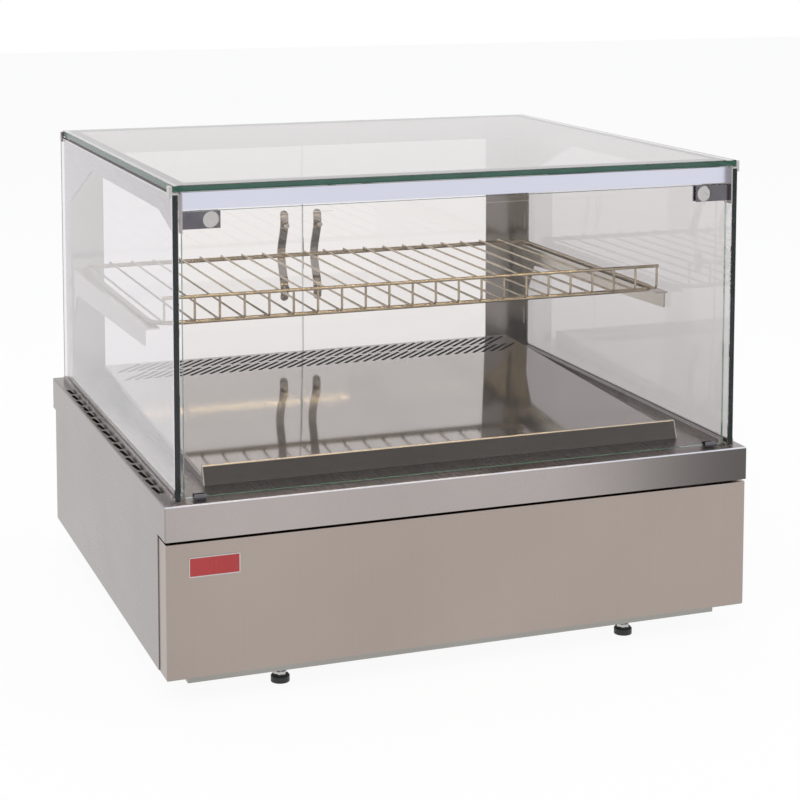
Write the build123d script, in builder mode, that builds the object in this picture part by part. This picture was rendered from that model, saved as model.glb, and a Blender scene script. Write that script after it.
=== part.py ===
# Refrigerated countertop display: steel machine base under a glass case with a wire shelf and a sloped deck.
# Millimetres, +Z up, +X right, front towards -Y, origin under the middle of the whole object on the counter.
import os
from math import ceil, cos, radians, sin, sqrt, tan

from build123d import *

# Overall sizes
body_width = 765.0
body_depth = 688.0
ledge_z = 242.0
glass_top_z = 612.0

# Sheet metal and running clearances
sheet = 1.5
frame_sheet = 2.0
clear = 0.3
running_fit = 0.05

# Body, from the front face rearwards
apron_height = 42.0
body_bottom_z = 36.0
bend_radius = 2.0
rear_step = 20.0
rear_apron_height = 44.0
panel_return = 36.0
panel_setback = 1.0
panel_side_inset = 1.2
panel_gap = 3.5
flange = 15.0

# Pan and levelling feet
pan_z = 20.0
pan_side_inset = 32.0
pan_front_inset = 25.0
pan_rear_inset = 43.0
pan_slot_length = 60.0
pan_slot_width = 5.0
pan_slot_pitch = 14.0
pan_slot_rows = 9
foot_side_inset = 151.5
foot_end_inset = 45.0
foot_stud_radius = 5.0
foot_stud_top = 40.0
foot_pad_radius = 11.5
foot_pad_height = 9.0
foot_collar_radius = 8.5
foot_collar_height = 4.0
foot_boss_radius = 10.0
foot_boss_height = 14.0

# Glass
glass_side_inset = 14.5
glass_front_inset = 11.0
side_glass_thickness = 8.0
top_glass_thickness = 8.0
front_glass_thickness = 6.0
door_glass_thickness = 5.0
side_glass_overrun = 11.0
top_glass_overrun = 2.0
top_glass_side_inset = 1.4
tape_thickness = 1.0
side_glass_drop = 2.0

# Rails that hold the side panes, and the vent slots beside them
channel_height = 8.0
channel_outer_lip = 3.2
channel_inner_lip = 7.5
channel_front = 16.0
channel_rear_gap = 3.0
channel_groove_width = 2.0
channel_groove_depth = 1.2
vent_front = 71.0
vent_rear_inset = 98.0
vent_count = 16
vent_length = 28.0
vent_width = 5.0
vent_angle = 5.0
vent_channel_gap = 1.4

# Side frames with gussets, front beam and light
frame_glass_gap = 1.5
frame_front = 6.5
frame_rail_height = 28.0
front_gusset_reach = 88.0
front_gusset_toe = 16.0
front_gusset_z = 557.0
rear_gusset_reach = 193.0
rear_gusset_z = 515.0
frame_top_flange = 12.0
beam_front = 15.0
beam_depth = 28.0
beam_height = 20.0
beam_wall = 2.0
light_end_gap = 56.5
light_depth = 16.0
light_height = 14.0
light_wall = 1.5
light_drop = 1.0
diffuser_thickness = 3.0
diffuser_end_gap = 1.0

# Rear posts and header
post_rear_inset = 25.0
post_side_flange = 41.0
post_rear_flange = 56.0
post_slot_length = 25.0
post_slot_width = 4.0
post_slot_pitch = 50.0
post_slot_lowest = 295.0
post_slot_count = 6
post_slot_inset = 10.0
header_depth = 20.0
header_height = 32.0

# Front glass hinge
front_glass_side_gap = 5.0
front_glass_bottom_gap = 3.5
hinge_plate_length = 46.0
hinge_plate_height = 20.0
hinge_plate_thickness = 3.0
hinge_pin_radius = 3.0
hinge_pin_overrun = 2.6
hinge_block = 12.0
hinge_head_radius = 10.0
hinge_head_height = 4.5
hinge_slot_width = 1.4
hinge_slot_depth = 1.2
hinge_head_inset = 35.0
edge_cap_inset = 11.0
edge_cap_lift = 1.2
edge_cap_length = 15.0
edge_cap_height = 6.0
edge_cap_wall = 2.0

# Rear doors
door_post_gap = 4.0
door_seam_gap = 1.5
door_bottom_gap = 4.0
door_top_gap = 6.0
door_pivot_inset = 14.0
stile_radius = 6.0
stile_grip = 20.0
stile_wall = 3.0
stile_glass_gap = 2.0
pivot_pin_radius = 3.0
pivot_pin_length = 3.0
pivot_block_height = 3.2
pivot_block_size = 14.0

# Door handles
handle_seam_offset = 26.5
handle_screw_spacing = 96.0
handle_middle_z = 406.0
handle_tip = 22.0
handle_width = 12.5
handle_thickness = 2.5
handle_standoff = 4.0
handle_bow = 18.0
cap_nut_radius = 4.0
cap_nut_height = 4.0
handle_screw_radius = 2.5

# Wire shelf and brackets
shelf_z = 419.0
shelf_side_gap = 16.0
shelf_front = 178.0
shelf_post_gap = 11.0
shelf_rear_rail_inset = 9.0
shelf_rear_rail_radius = 2.0
shelf_corner = 25.0
shelf_frame_wire = 2.75
shelf_cross_wire = 1.5
shelf_wire_count = 22
shelf_wire_end_gap = 9.0
shelf_wire_rear_overrun = 4.0
shelf_wire_sink = 0.5
gallery_height = 31.0
gallery_reach = 17.0
gallery_end = 2.0
gallery_wire = 2.2
gallery_bend = 6.0
bracket_top_flange = 18.0
bracket_front = 176.0
bracket_flange_overrun = 6.0
bracket_flange_rear_gap = 18.0
bracket_front_height = 23.0
bracket_rear_height = 34.0
bracket_heel_height = 88.0
bracket_heel_length = 42.0
bracket_heel_foot = 12.0
hook_height = 20.0
hook_width = 3.2

# Deck
deck_side_gap = 35.2
deck_front = 80.0
deck_post_gap = 9.0
deck_rear_z = 272.5
deck_slope = 2.32
deck_corner = 3.0
lip_top_z = 265.0
lip_thickness = 3.0
lip_foot_reach = 8.0
lip_round = 1.2
lip_top_solid = 6.0
slot_rows = 2
slot_row_pitch = 43.0
slot_row_shift = 1.1
slot_pitch = 14.6
slot_length = 55.0
slot_width = 5.0
slot_slant = 42.7
slot_strip_rear = 10.0
slot_side_margin = 8.0

# Cold well under the deck
well_side_inset = 17.0
well_front = 240.0
well_rear_inset = 18.0
well_floor_z = 132.0
foam_wall = 26.0
foam_floor = 30.0
liner = 1.5
drain_x = 0.0
drain_radius = 9.0
drain_wall = 2.0

# Evaporator and its fan
coil_half_width = 210.0
coil_rear_gap = 105.0
coil_depth = 60.0
coil_height = 84.0
coil_fin = 1.0
coil_fin_pitch = 20.0
coil_tube_radius = 4.5
coil_tube_pitch = 28.0
coil_tube_front_inset = 16.0
coil_tube_bottom_inset = 14.0
coil_tube_overrun = 12.0
cold_fan_radius = 36.0
cold_fan_plate = 3.0
fan_hub_radius = 12.0
fan_blade_count = 5
fan_tip_clear = 2.0
fan_blade_thickness = 2.5
fan_depth = 18.0
fan_shaft_radius = 2.5
fan_hub_gap = 2.0
fan_blade_inset = 3.0
fan_strut_overrun = 2.0
fan_strut_width = 4.0
fan_strut_thickness = 3.0
fan_stay_size = 5.0

# Compressor
compressor_side_inset = 147.5
compressor_from_front = 140.0
compressor_radius = 66.0
compressor_bottom = 34.0
compressor_height = 148.0
compressor_foot_span = 140.0
compressor_foot_depth = 150.0
compressor_foot_sheet = 3.0
seam_width = 3.0
pot_round = 14.0
terminal_half_width = 22.0
terminal_reach = 16.0
terminal_root = 12.0
terminal_lift = 60.0
terminal_height = 48.0
mount_radius = 11.0
mount_rubber_inset = 1.0
mount_bolt_radius = 3.5
mount_bolt_overrun = 6.0
mount_nut_inset = 3.0
mount_nut_height = 4.0

# Condenser and its fan
condenser_side_gap = 36.0
condenser_width = 240.0
condenser_front = 58.0
condenser_depth = 50.0
condenser_bottom = 30.0
condenser_height = 150.0
condenser_fin_pitch = 12.0
condenser_tube_front_inset = 12.0
condenser_tube_row_gap = 26.0
condenser_tube_bottom_inset = 19.0
condenser_tube_pitch = 28.0
condenser_tube_overrun = 8.0
hot_fan_radius = 62.0
hot_fan_gap = 18.0
hot_fan_plate = 3.0

# Pipes
pipe_radius = 4.0
drier_radius = 10.0
drier_length = 90.0
drier_x = -20.0
drier_overlap = 5.0
discharge_reach = 40.0
liquid_reach = 30.0
liquid_rise = 90.0
suction_lift = 50.0
suction_offset = 16.0
suction_reach = 25.0
suction_rise = 40.0
pipe_wall_run = 30.0

# Drain tray under the well
tray_half_width = 90.0
tray_front_gap = 20.0
tray_depth = 170.0
tray_height = 28.0
tray_wall = 2.0

# Service panel at the rear
louvre_count = 9
louvre_length = 150.0
louvre_height = 5.0
louvre_pitch = 14.0
louvre_side_inset = 147.5
control_side_inset = 132.5
control_z = 115.0
control_width = 78.0
control_height = 36.0
control_bezel = 3.0
control_overhang = 4.0
bezel_neck = 6.0
bezel_floor = 2.0
bezel_corner = 2.0
window_sink = 1.0
button_round = 0.8
window_width = 30.0
window_margin = 5.0
button_first = 5.0
window_height = 18.0
button_width = 8.0
button_height = 7.0
button_travel = 1.5
button_pitch = 10.5
switch_offsets = (90.0, 130.0)
switch_width = 24.0
switch_height = 32.0
rocker_width = 17.0
rocker_height = 25.0
rocker_depth = 8.0
rocker_end_gap = 0.6
rocker_crest = 3.6
rocker_dip = 2.6
rocker_axle_radius = 1.5
rocker_axle_sink = 3.0
rocker_axle_seat = 2.0
switch_rim = 2.0
switch_body_depth = 14.0
switch_body_inset = 1.2
switch_cut_inset = 1.0
rocker_pocket_depth = 12.0
rocker_pocket_end = 1.0
rocker_tilt = 9.0
gland_side_inset = 52.5
gland_z = 70.0
gland_radius = 11.0
gland_bore = 4.0
gland_length = 18.0
gland_inner_length = 8.0
gland_nut_height = 5.0
gland_neck_step = 2.0
gland_nose_step = 3.0
gland_nose_round = 2.5
control_box_width = 200.0
control_box_height = 110.0
control_box_depth = 38.0
terminal_block_depth = 16.0
terminal_block_width = 120.0
terminal_block_height = 55.0

# Badge and screws
badge_width = 62.0
badge_height = 24.0
badge_thickness = 0.8
badge_corner = 2.0
badge_left_inset = 28.0
badge_top_drop = 17.0
screw_head_radius = 4.0
screw_head_height = 2.2
screw_side_inset = 12.0
screw_end_inset = 8.0

# Corner clips
clip_length = 10.0
clip_thickness = 4.0
clip_skirt = 4.0
clip_end_gap = 1.0
clip_top_drop = 1.0

# Tape ends
tape_end_gap = 3.0
tape_rear_gap = 2.0

# Derived places
post_rear = body_depth - post_rear_inset
post_front = post_rear - post_side_flange
door_front = post_rear + door_post_gap
door_rear = door_front + door_glass_thickness
handle_reach = handle_standoff + handle_bow + handle_thickness
overall_depth = max(body_depth, door_rear + handle_reach)
front_y = -overall_depth / 2
half_width = body_width / 2
glass_outer = half_width - glass_side_inset
glass_inner = glass_outer - side_glass_thickness
frame_outer = glass_inner - frame_glass_gap
frame_inner = frame_outer - frame_sheet
glass_bottom_z = ledge_z + sheet
frame_top_z = glass_top_z - top_glass_thickness - tape_thickness
beam_bottom_z = frame_top_z - beam_height
panel_top_z = ledge_z - apron_height - panel_gap
rear_face = body_depth - rear_step
side_glass_rear = post_rear + side_glass_overrun
top_glass_rear = post_rear + top_glass_overrun
channel_rear = post_rear - channel_rear_gap
vent_rear = body_depth - vent_rear_inset
deck_half_width = glass_inner - clear - channel_inner_lip - deck_side_gap
deck_rear = post_front - deck_post_gap
shelf_half_width = glass_inner - shelf_side_gap
shelf_rear = post_front - shelf_post_gap
shelf_wire_span = 2 * (shelf_half_width - shelf_wire_end_gap)
well_half_width = deck_half_width - well_side_inset
well_rear = deck_rear - well_rear_inset
coil_front = well_rear - coil_rear_gap - coil_depth
tray_front = well_front + tray_front_gap
condenser_left = -half_width + sheet + condenser_side_gap
compressor_x = half_width - compressor_side_inset
louvre_x = half_width - louvre_side_inset
control_x = -half_width + control_side_inset
switch_x = [control_x + switch_offset for switch_offset in switch_offsets]
gland_x = half_width - gland_side_inset

os.makedirs("parts", exist_ok=True)


def y_at(from_front):
    """Y of a place given by its distance behind the front face."""
    return front_y + from_front


def block(x_range, d_range, z_range, mode=Mode.ADD):
    """A box between two limits on each axis, the middle pair measured from the front face."""
    size = (x_range[1] - x_range[0], d_range[1] - d_range[0], z_range[1] - z_range[0])
    place = ((x_range[0] + x_range[1]) / 2, y_at((d_range[0] + d_range[1]) / 2),
             (z_range[0] + z_range[1]) / 2)
    with Locations(place):
        Box(*size, mode=mode)


def side_plane(x):
    """A sketch plane across X whose own axes run along Y and Z."""
    return Plane(origin=(x, 0, 0), x_dir=(0, 1, 0), z_dir=(1, 0, 0))


def front_plane(from_front):
    """A sketch plane facing the front whose own axes run along X and Z."""
    return Plane(origin=(0, y_at(from_front), 0), x_dir=(1, 0, 0), z_dir=(0, -1, 0))


def rod_x(x_range, from_front, z, radius, mode=Mode.ADD):
    """A round bar along X."""
    with Locations(((x_range[0] + x_range[1]) / 2, y_at(from_front), z)):
        Cylinder(radius, x_range[1] - x_range[0], rotation=(0, 90, 0), mode=mode)


def rod_y(x, d_range, z, radius, mode=Mode.ADD):
    """A round bar along Y."""
    with Locations((x, y_at((d_range[0] + d_range[1]) / 2), z)):
        Cylinder(radius, d_range[1] - d_range[0], rotation=(90, 0, 0), mode=mode)


def rod_z(x, from_front, z_range, radius, mode=Mode.ADD):
    """A round bar along Z."""
    with Locations((x, y_at(from_front), (z_range[0] + z_range[1]) / 2)):
        Cylinder(radius, z_range[1] - z_range[0], mode=mode)


def mirrored(piece):
    """The same piece on the other side of the middle."""
    with BuildPart() as other:
        mirror(piece, about=Plane.YZ)
    return other.part


def save(piece, node):
    """Label a finished piece and write it."""
    piece.label = node
    export_step(piece, f"parts/{node}.step")


# Body shell
vent_x = glass_outer + channel_outer_lip + vent_channel_gap + vent_width / 2
vent_pitch = (vent_rear - vent_front) / (vent_count - 1)
with BuildPart() as body_shell:
    block((-half_width, half_width), (0, body_depth), (ledge_z - apron_height, ledge_z))
    top_edges = body_shell.edges().group_by(Axis.Z)[-1] + body_shell.edges().filter_by(Axis.Z)
    fillet(top_edges, radius=bend_radius)
    inner = half_width - sheet
    block((-inner, inner), (sheet, body_depth - sheet), (0, ledge_z - sheet), mode=Mode.SUBTRACT)
    block(
        (-half_width, half_width),
        (rear_face, body_depth),
        (ledge_z - rear_apron_height, ledge_z - rear_apron_height + sheet),
    )
    block(
        (-half_width, half_width),
        (body_depth - sheet, body_depth),
        (ledge_z - rear_apron_height, ledge_z - apron_height),
    )
    for side in (-1, 1):
        wall_x = sorted((side * half_width, side * inner))
        block(wall_x, (panel_return + panel_setback, rear_face), (body_bottom_z, ledge_z - apron_height))
        block(wall_x, (rear_face, body_depth), (ledge_z - rear_apron_height, ledge_z - apron_height))
        edge_x = sorted((side * inner, side * (inner - flange)))
        block(edge_x, (panel_return + panel_setback, panel_return + panel_setback + sheet),
              (body_bottom_z, ledge_z - apron_height))
        block(edge_x, (rear_face - 2 * sheet, rear_face - sheet),
              (body_bottom_z, ledge_z - rear_apron_height))
        block(edge_x, (panel_return + panel_setback, rear_face - sheet),
              (body_bottom_z, body_bottom_z + sheet))
    block((-inner, inner), (sheet, flange), (ledge_z - apron_height, ledge_z - apron_height + sheet))
    block((-well_half_width, well_half_width), (well_front, well_rear), (ledge_z - sheet, ledge_z),
          mode=Mode.SUBTRACT)
    with BuildSketch(Plane.XY.offset(ledge_z - sheet)):
        for index in range(vent_count):
            for side in (-1, 1):
                with Locations((side * vent_x, y_at(vent_front + index * vent_pitch))):
                    SlotOverall(vent_length, vent_width, rotation=90 - side * vent_angle)
    extrude(amount=sheet, mode=Mode.SUBTRACT)
save(body_shell.part, "body_shell")

# Removable front cover
panel_half = half_width - panel_side_inset
with BuildPart() as front_panel:
    block((-panel_half, panel_half), (panel_setback, panel_return), (body_bottom_z, panel_top_z))
    fillet(front_panel.edges().filter_by(Axis.Z).group_by(Axis.Y)[0], radius=bend_radius)
    block((-panel_half + sheet, panel_half - sheet), (panel_setback + sheet, panel_return),
          (body_bottom_z, panel_top_z), mode=Mode.SUBTRACT)
    block((-panel_half + sheet, panel_half - sheet), (panel_setback + sheet, flange),
          (panel_top_z - sheet, panel_top_z))
    block((-panel_half + sheet, panel_half - sheet), (panel_setback + sheet, flange),
          (body_bottom_z, body_bottom_z + sheet))
save(front_panel.part, "front_panel")

# Badge plate, left plain
badge_z = panel_top_z - badge_top_drop - badge_height / 2
badge_x = -half_width + badge_left_inset + badge_width / 2
with BuildPart() as badge_plate:
    with BuildSketch(front_plane(panel_setback)):
        with Locations((badge_x, badge_z)):
            RectangleRounded(badge_width, badge_height, badge_corner)
    extrude(amount=badge_thickness)
save(badge_plate.part, "badge_plate")

# Bottom pan with air slots and foot bosses
foot_places = [(sx * (half_width - foot_side_inset), d)
               for d in (foot_end_inset, body_depth - foot_end_inset - pan_rear_inset) for sx in (-1, 1)]
pan_x = half_width - pan_side_inset
pan_rim = half_width - sheet - clear
with BuildPart() as bottom_pan:
    block((-pan_rim, pan_rim), (panel_setback + sheet + clear, rear_face - clear),
          (body_bottom_z - sheet, body_bottom_z))
    block((-pan_x, pan_x), (pan_front_inset, body_depth - pan_rear_inset), (pan_z, body_bottom_z - sheet))
    block((-pan_x + sheet, pan_x - sheet), (pan_front_inset + sheet, body_depth - pan_rear_inset - sheet),
          (pan_z + sheet, body_bottom_z), mode=Mode.SUBTRACT)
    for x, d in foot_places:
        rod_z(x, d, (pan_z, pan_z + foot_boss_height), foot_boss_radius)
        rod_z(x, d, (pan_z, pan_z + foot_boss_height), foot_stud_radius + running_fit, mode=Mode.SUBTRACT)
    with BuildSketch(Plane.XY.offset(pan_z)):
        with Locations((condenser_left + condenser_width / 2, y_at(condenser_front + condenser_depth * 2))):
            with GridLocations(pan_slot_length * 1.25, pan_slot_pitch, 3, pan_slot_rows):
                SlotOverall(pan_slot_length, pan_slot_width)
    extrude(amount=sheet, mode=Mode.SUBTRACT)
save(bottom_pan.part, "bottom_pan")

# Levelling feet
foot_names = ("foot_front_left", "foot_front_right", "foot_rear_left", "foot_rear_right")
for foot_name, (x, d) in zip(foot_names, foot_places):
    with BuildPart() as foot:
        rod_z(x, d, (0, foot_pad_height), foot_pad_radius)
        chamfer(foot.edges().group_by(Axis.Z)[-1], length=2.0)
        with BuildSketch(Plane.XY.offset(foot_pad_height)):
            with Locations((x, y_at(d))):
                RegularPolygon(foot_collar_radius, 6)
        extrude(amount=foot_collar_height)
        rod_z(x, d, (foot_pad_height, foot_stud_top), foot_stud_radius)
    save(foot.part, foot_name)

# Service panel at the rear, with louvres and cut-outs
panel_clear = 0.2
service_top = ledge_z - rear_apron_height
with BuildPart() as rear_panel:
    block((-half_width + sheet + panel_clear, half_width - sheet - panel_clear),
          (rear_face - sheet, rear_face), (body_bottom_z, service_top - panel_clear))
    with BuildSketch(front_plane(rear_face)):
        with Locations((louvre_x, (body_bottom_z + service_top) / 2)):
            with GridLocations(louvre_length, louvre_pitch, 1, louvre_count):
                SlotOverall(louvre_length, louvre_height)
        with Locations((0, (body_bottom_z + service_top) / 2)):
            with GridLocations(louvre_length, louvre_pitch, 1, louvre_count):
                SlotOverall(louvre_length, louvre_height)
        with Locations((control_x, control_z)):
            Rectangle(control_width - 2 * control_overhang, control_height - 2 * control_overhang)
        for x in switch_x:
            with Locations((x, control_z)):
                Rectangle(switch_width - 2 * switch_cut_inset, switch_height - 2 * switch_cut_inset)
        with Locations((gland_x, gland_z)):
            Circle(gland_radius - gland_neck_step)
    extrude(amount=sheet, mode=Mode.SUBTRACT)
save(rear_panel.part, "rear_panel")

# Control box behind the service panel
box_x = control_x + control_box_width / 4
box_rear = rear_face - sheet
with BuildPart() as control_box:
    block((box_x - control_box_width / 2, box_x + control_box_width / 2),
          (box_rear - control_box_depth, box_rear),
          (control_z - control_box_height / 2, control_z + control_box_height / 2))
    rear_opening = control_box.faces().sort_by(Axis.Y)[-1]
    offset(amount=-sheet, openings=rear_opening)
    with Locations((box_x, y_at(box_rear - control_box_depth + sheet + terminal_block_depth / 2),
                    control_z)):
        Box(terminal_block_width, terminal_block_depth, terminal_block_height)
save(control_box.part, "control_box")

# Digital controller: bezel with a dark window, and three keys that travel in it
bezel_front = rear_face - sheet - bezel_neck
with BuildPart() as controller_bezel:
    block((control_x - control_width / 2, control_x + control_width / 2),
          (rear_face, rear_face + control_bezel),
          (control_z - control_height / 2, control_z + control_height / 2))
    fillet(controller_bezel.edges().filter_by(Axis.Y), radius=bezel_corner)
    neck_x = control_width / 2 - control_overhang - panel_clear
    neck_z = control_height / 2 - control_overhang - panel_clear
    block((control_x - neck_x, control_x + neck_x), (bezel_front, rear_face),
          (control_z - neck_z, control_z + neck_z))
    block((control_x - control_width / 2 + window_margin,
           control_x - control_width / 2 + window_margin + window_width),
          (rear_face + control_bezel - window_sink, rear_face + control_bezel),
          (control_z - window_height / 2, control_z + window_height / 2), mode=Mode.SUBTRACT)
    for index in range(3):
        key_x = control_x + button_first + index * button_pitch
        block((key_x - button_width / 2 - clear, key_x + button_width / 2 + clear),
              (bezel_front + bezel_floor, rear_face + control_bezel),
              (control_z - button_height / 2 - clear, control_z + button_height / 2 + clear),
              mode=Mode.SUBTRACT)
save(controller_bezel.part, "controller_bezel")
for index, key in enumerate(("button_set", "button_down", "button_up")):
    key_x = control_x + button_first + index * button_pitch
    with BuildPart() as button:
        block((key_x - button_width / 2, key_x + button_width / 2),
              (bezel_front + bezel_floor + button_travel + clear,
               rear_face + control_bezel + button_travel),
              (control_z - button_height / 2, control_z + button_height / 2))
        fillet(button.edges().group_by(Axis.Y)[-1], radius=button_round)
    save(button.part, key)

# Switch frames and rockers
rocker_hinge_d = rear_face - rocker_axle_sink
with BuildPart() as switch_frames:
    for x in switch_x:
        block((x - switch_width / 2, x + switch_width / 2), (rear_face, rear_face + switch_rim),
              (control_z - switch_height / 2, control_z + switch_height / 2))
        switch_body_x = switch_width / 2 - switch_body_inset
        switch_body_z = switch_height / 2 - switch_body_inset
        block((x - switch_body_x, x + switch_body_x), (rear_face - switch_body_depth, rear_face),
              (control_z - switch_body_z, control_z + switch_body_z))
        pocket_x = rocker_width / 2 + clear
        pocket_z = rocker_height / 2 + rocker_pocket_end
        block((x - pocket_x, x + pocket_x), (rear_face - rocker_pocket_depth, rear_face + switch_rim),
              (control_z - pocket_z, control_z + pocket_z), mode=Mode.SUBTRACT)
        axle_x = rocker_width / 2 + rocker_axle_seat
        rod_x((x - axle_x, x + axle_x), rocker_hinge_d, control_z, rocker_axle_radius)
save(switch_frames.part, "switch_frames")
for x, rocker_name in zip(switch_x, ("rocker_power", "rocker_light")):
    with BuildPart() as rocker:
        half = rocker_height / 2 - rocker_end_gap
        with BuildSketch(side_plane(x - rocker_width / 2)):
            with Locations(Location((y_at(rocker_hinge_d), control_z), rocker_tilt)):
                Polygon((-rocker_depth / 2, -half * 0.6), (rocker_crest, -half), (rocker_dip, 0),
                        (rocker_crest, half), (-rocker_depth / 2, half * 0.6), align=None)
        extrude(amount=rocker_width)
        rod_x((x - rocker_width, x + rocker_width), rocker_hinge_d, control_z,
              rocker_axle_radius + running_fit,
              mode=Mode.SUBTRACT)
    save(rocker.part, rocker_name)

# Cable gland: only the inlet, with its bore
with BuildPart() as cord_gland:
    rod_y(gland_x, (rear_face - gland_inner_length, rear_face), gland_z,
          gland_radius - gland_neck_step - panel_clear)
    with BuildSketch(front_plane(rear_face + gland_nut_height)):
        with Locations((gland_x, gland_z)):
            RegularPolygon(gland_radius, 6)
    extrude(amount=gland_nut_height)
    rod_y(gland_x, (rear_face + gland_nut_height, rear_face + gland_length), gland_z,
          gland_radius - gland_nose_step)
    fillet(cord_gland.edges().group_by(Axis.Y)[-1], radius=gland_nose_round)
    rod_y(gland_x, (rear_face - gland_inner_length, rear_face + gland_length), gland_z, gland_bore,
          mode=Mode.SUBTRACT)
save(cord_gland.part, "cord_gland")

# Cold well: foam shell and steel liner
drain_d = tray_front + tray_depth / 2
with BuildPart() as well_insulation:
    block((-well_half_width - liner - foam_wall, well_half_width + liner + foam_wall),
          (well_front - liner - foam_wall, well_rear + liner + foam_wall),
          (well_floor_z - liner - foam_floor, ledge_z - sheet))
    block((-well_half_width - liner, well_half_width + liner), (well_front - liner, well_rear + liner),
          (well_floor_z - liner, ledge_z - sheet), mode=Mode.SUBTRACT)
    rod_z(drain_x, drain_d, (0, ledge_z), drain_radius, mode=Mode.SUBTRACT)
save(well_insulation.part, "well_insulation")
with BuildPart() as well_liner:
    block((-well_half_width - liner, well_half_width + liner), (well_front - liner, well_rear + liner),
          (well_floor_z - liner, ledge_z - sheet))
    block((-well_half_width, well_half_width), (well_front, well_rear), (well_floor_z, ledge_z),
          mode=Mode.SUBTRACT)
    rod_z(drain_x, drain_d, (0, ledge_z), drain_radius - drain_wall, mode=Mode.SUBTRACT)
save(well_liner.part, "well_liner")

# Drain pipe and evaporation tray
with BuildPart() as drain_tray:
    block((drain_x - tray_half_width, drain_x + tray_half_width), (tray_front, tray_front + tray_depth),
          (pan_z + sheet, pan_z + sheet + tray_height))
    block((drain_x - tray_half_width + tray_wall, drain_x + tray_half_width - tray_wall),
          (tray_front + tray_wall, tray_front + tray_depth - tray_wall),
          (pan_z + sheet + tray_wall, pan_z + sheet + tray_height), mode=Mode.SUBTRACT)
    rod_z(drain_x, drain_d, (pan_z + sheet + tray_height / 2, well_floor_z - liner), drain_radius)
    rod_z(drain_x, drain_d, (pan_z + sheet + tray_height / 2, well_floor_z), drain_radius - drain_wall,
          mode=Mode.SUBTRACT)
save(drain_tray.part, "drain_tray")

# Evaporator: fins on hairpin tubes between end plates
fin_count = int(2 * coil_half_width / coil_fin_pitch) + 1
coil_bottom = well_floor_z
with BuildPart() as evaporator:
    for index in range(fin_count):
        x = -coil_half_width + index * coil_fin_pitch
        block((x - coil_fin / 2, x + coil_fin / 2), (coil_front, coil_front + coil_depth),
              (coil_bottom, coil_bottom + coil_height))
    for row in range(2):
        for layer in range(3):
            rod_x((-coil_half_width - coil_tube_overrun, coil_half_width + coil_tube_overrun),
                  coil_front + coil_tube_front_inset + row * coil_tube_pitch,
                  coil_bottom + coil_tube_bottom_inset + layer * coil_tube_pitch, coil_tube_radius)
save(evaporator.part, "evaporator")


def fan_frame(x, plate_front, bottom, top, half, radius, plate):
    """A plate with a round opening, a motor on three struts behind it and its shaft."""
    middle = (bottom + top) / 2
    block((x - half, x + half), (plate_front, plate_front + plate), (bottom, top))
    rod_y(x, (plate_front, plate_front + plate), middle, radius + fan_tip_clear, mode=Mode.SUBTRACT)
    motor_front = plate_front + fan_depth
    rod_y(x, (motor_front, motor_front + fan_depth), middle, fan_hub_radius)
    rod_y(x, (plate_front, motor_front), middle, fan_shaft_radius)
    for angle in (90, 210, 330):
        reach = radius + fan_tip_clear + fan_strut_overrun
        dx = cos(radians(angle))
        dz = sin(radians(angle))
        with BuildSketch(front_plane(motor_front + fan_depth * 0.5)) as strut:
            with Locations(Location((x + dx * reach / 2, middle + dz * reach / 2), angle)):
                Rectangle(reach, fan_strut_width)
        extrude(strut.sketch, amount=fan_strut_thickness)
        with BuildSketch(front_plane(motor_front + fan_depth * 0.5)) as stay:
            with Locations(Location((x + dx * reach, middle + dz * reach), angle)):
                Rectangle(fan_stay_size, fan_stay_size)
        extrude(stay.sketch, amount=motor_front + fan_depth * 0.5 - plate_front)


def fan_blades(x, plate_front, middle, radius):
    """A bored hub with flat raked blades, clear of the shaft, the motor and the plate."""
    hub_front = plate_front + fan_hub_gap
    hub_rear = plate_front + fan_depth - clear
    rod_y(x, (hub_front, hub_rear), middle, fan_hub_radius)
    for index in range(fan_blade_count):
        angle = 360 / fan_blade_count * index
        with BuildSketch(front_plane(hub_rear - fan_blade_inset)) as blade:
            with Locations(Location((x, middle), angle)):
                Polygon((fan_hub_radius - 2, -4), (radius * 0.75, -radius * 0.42), (radius * 0.98, 0),
                        (radius * 0.75, radius * 0.32), (fan_hub_radius - 2, 6), align=None)
        extrude(blade.sketch, amount=fan_blade_thickness)
    rod_y(x, (hub_front - 1, hub_rear + 1), middle, fan_shaft_radius + running_fit, mode=Mode.SUBTRACT)


# Evaporator fan
cold_plate_front = coil_front - 3 * fan_depth
cold_top = coil_bottom + coil_height
cold_middle = (coil_bottom + cold_top) / 2
with BuildPart() as evaporator_fan_frame:
    fan_frame(0, cold_plate_front, coil_bottom, cold_top, coil_half_width, cold_fan_radius, cold_fan_plate)
save(evaporator_fan_frame.part, "evaporator_fan_frame")
with BuildPart() as evaporator_fan_blades:
    fan_blades(0, cold_plate_front, cold_middle, cold_fan_radius)
save(evaporator_fan_blades.part, "evaporator_fan_blades")

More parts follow.
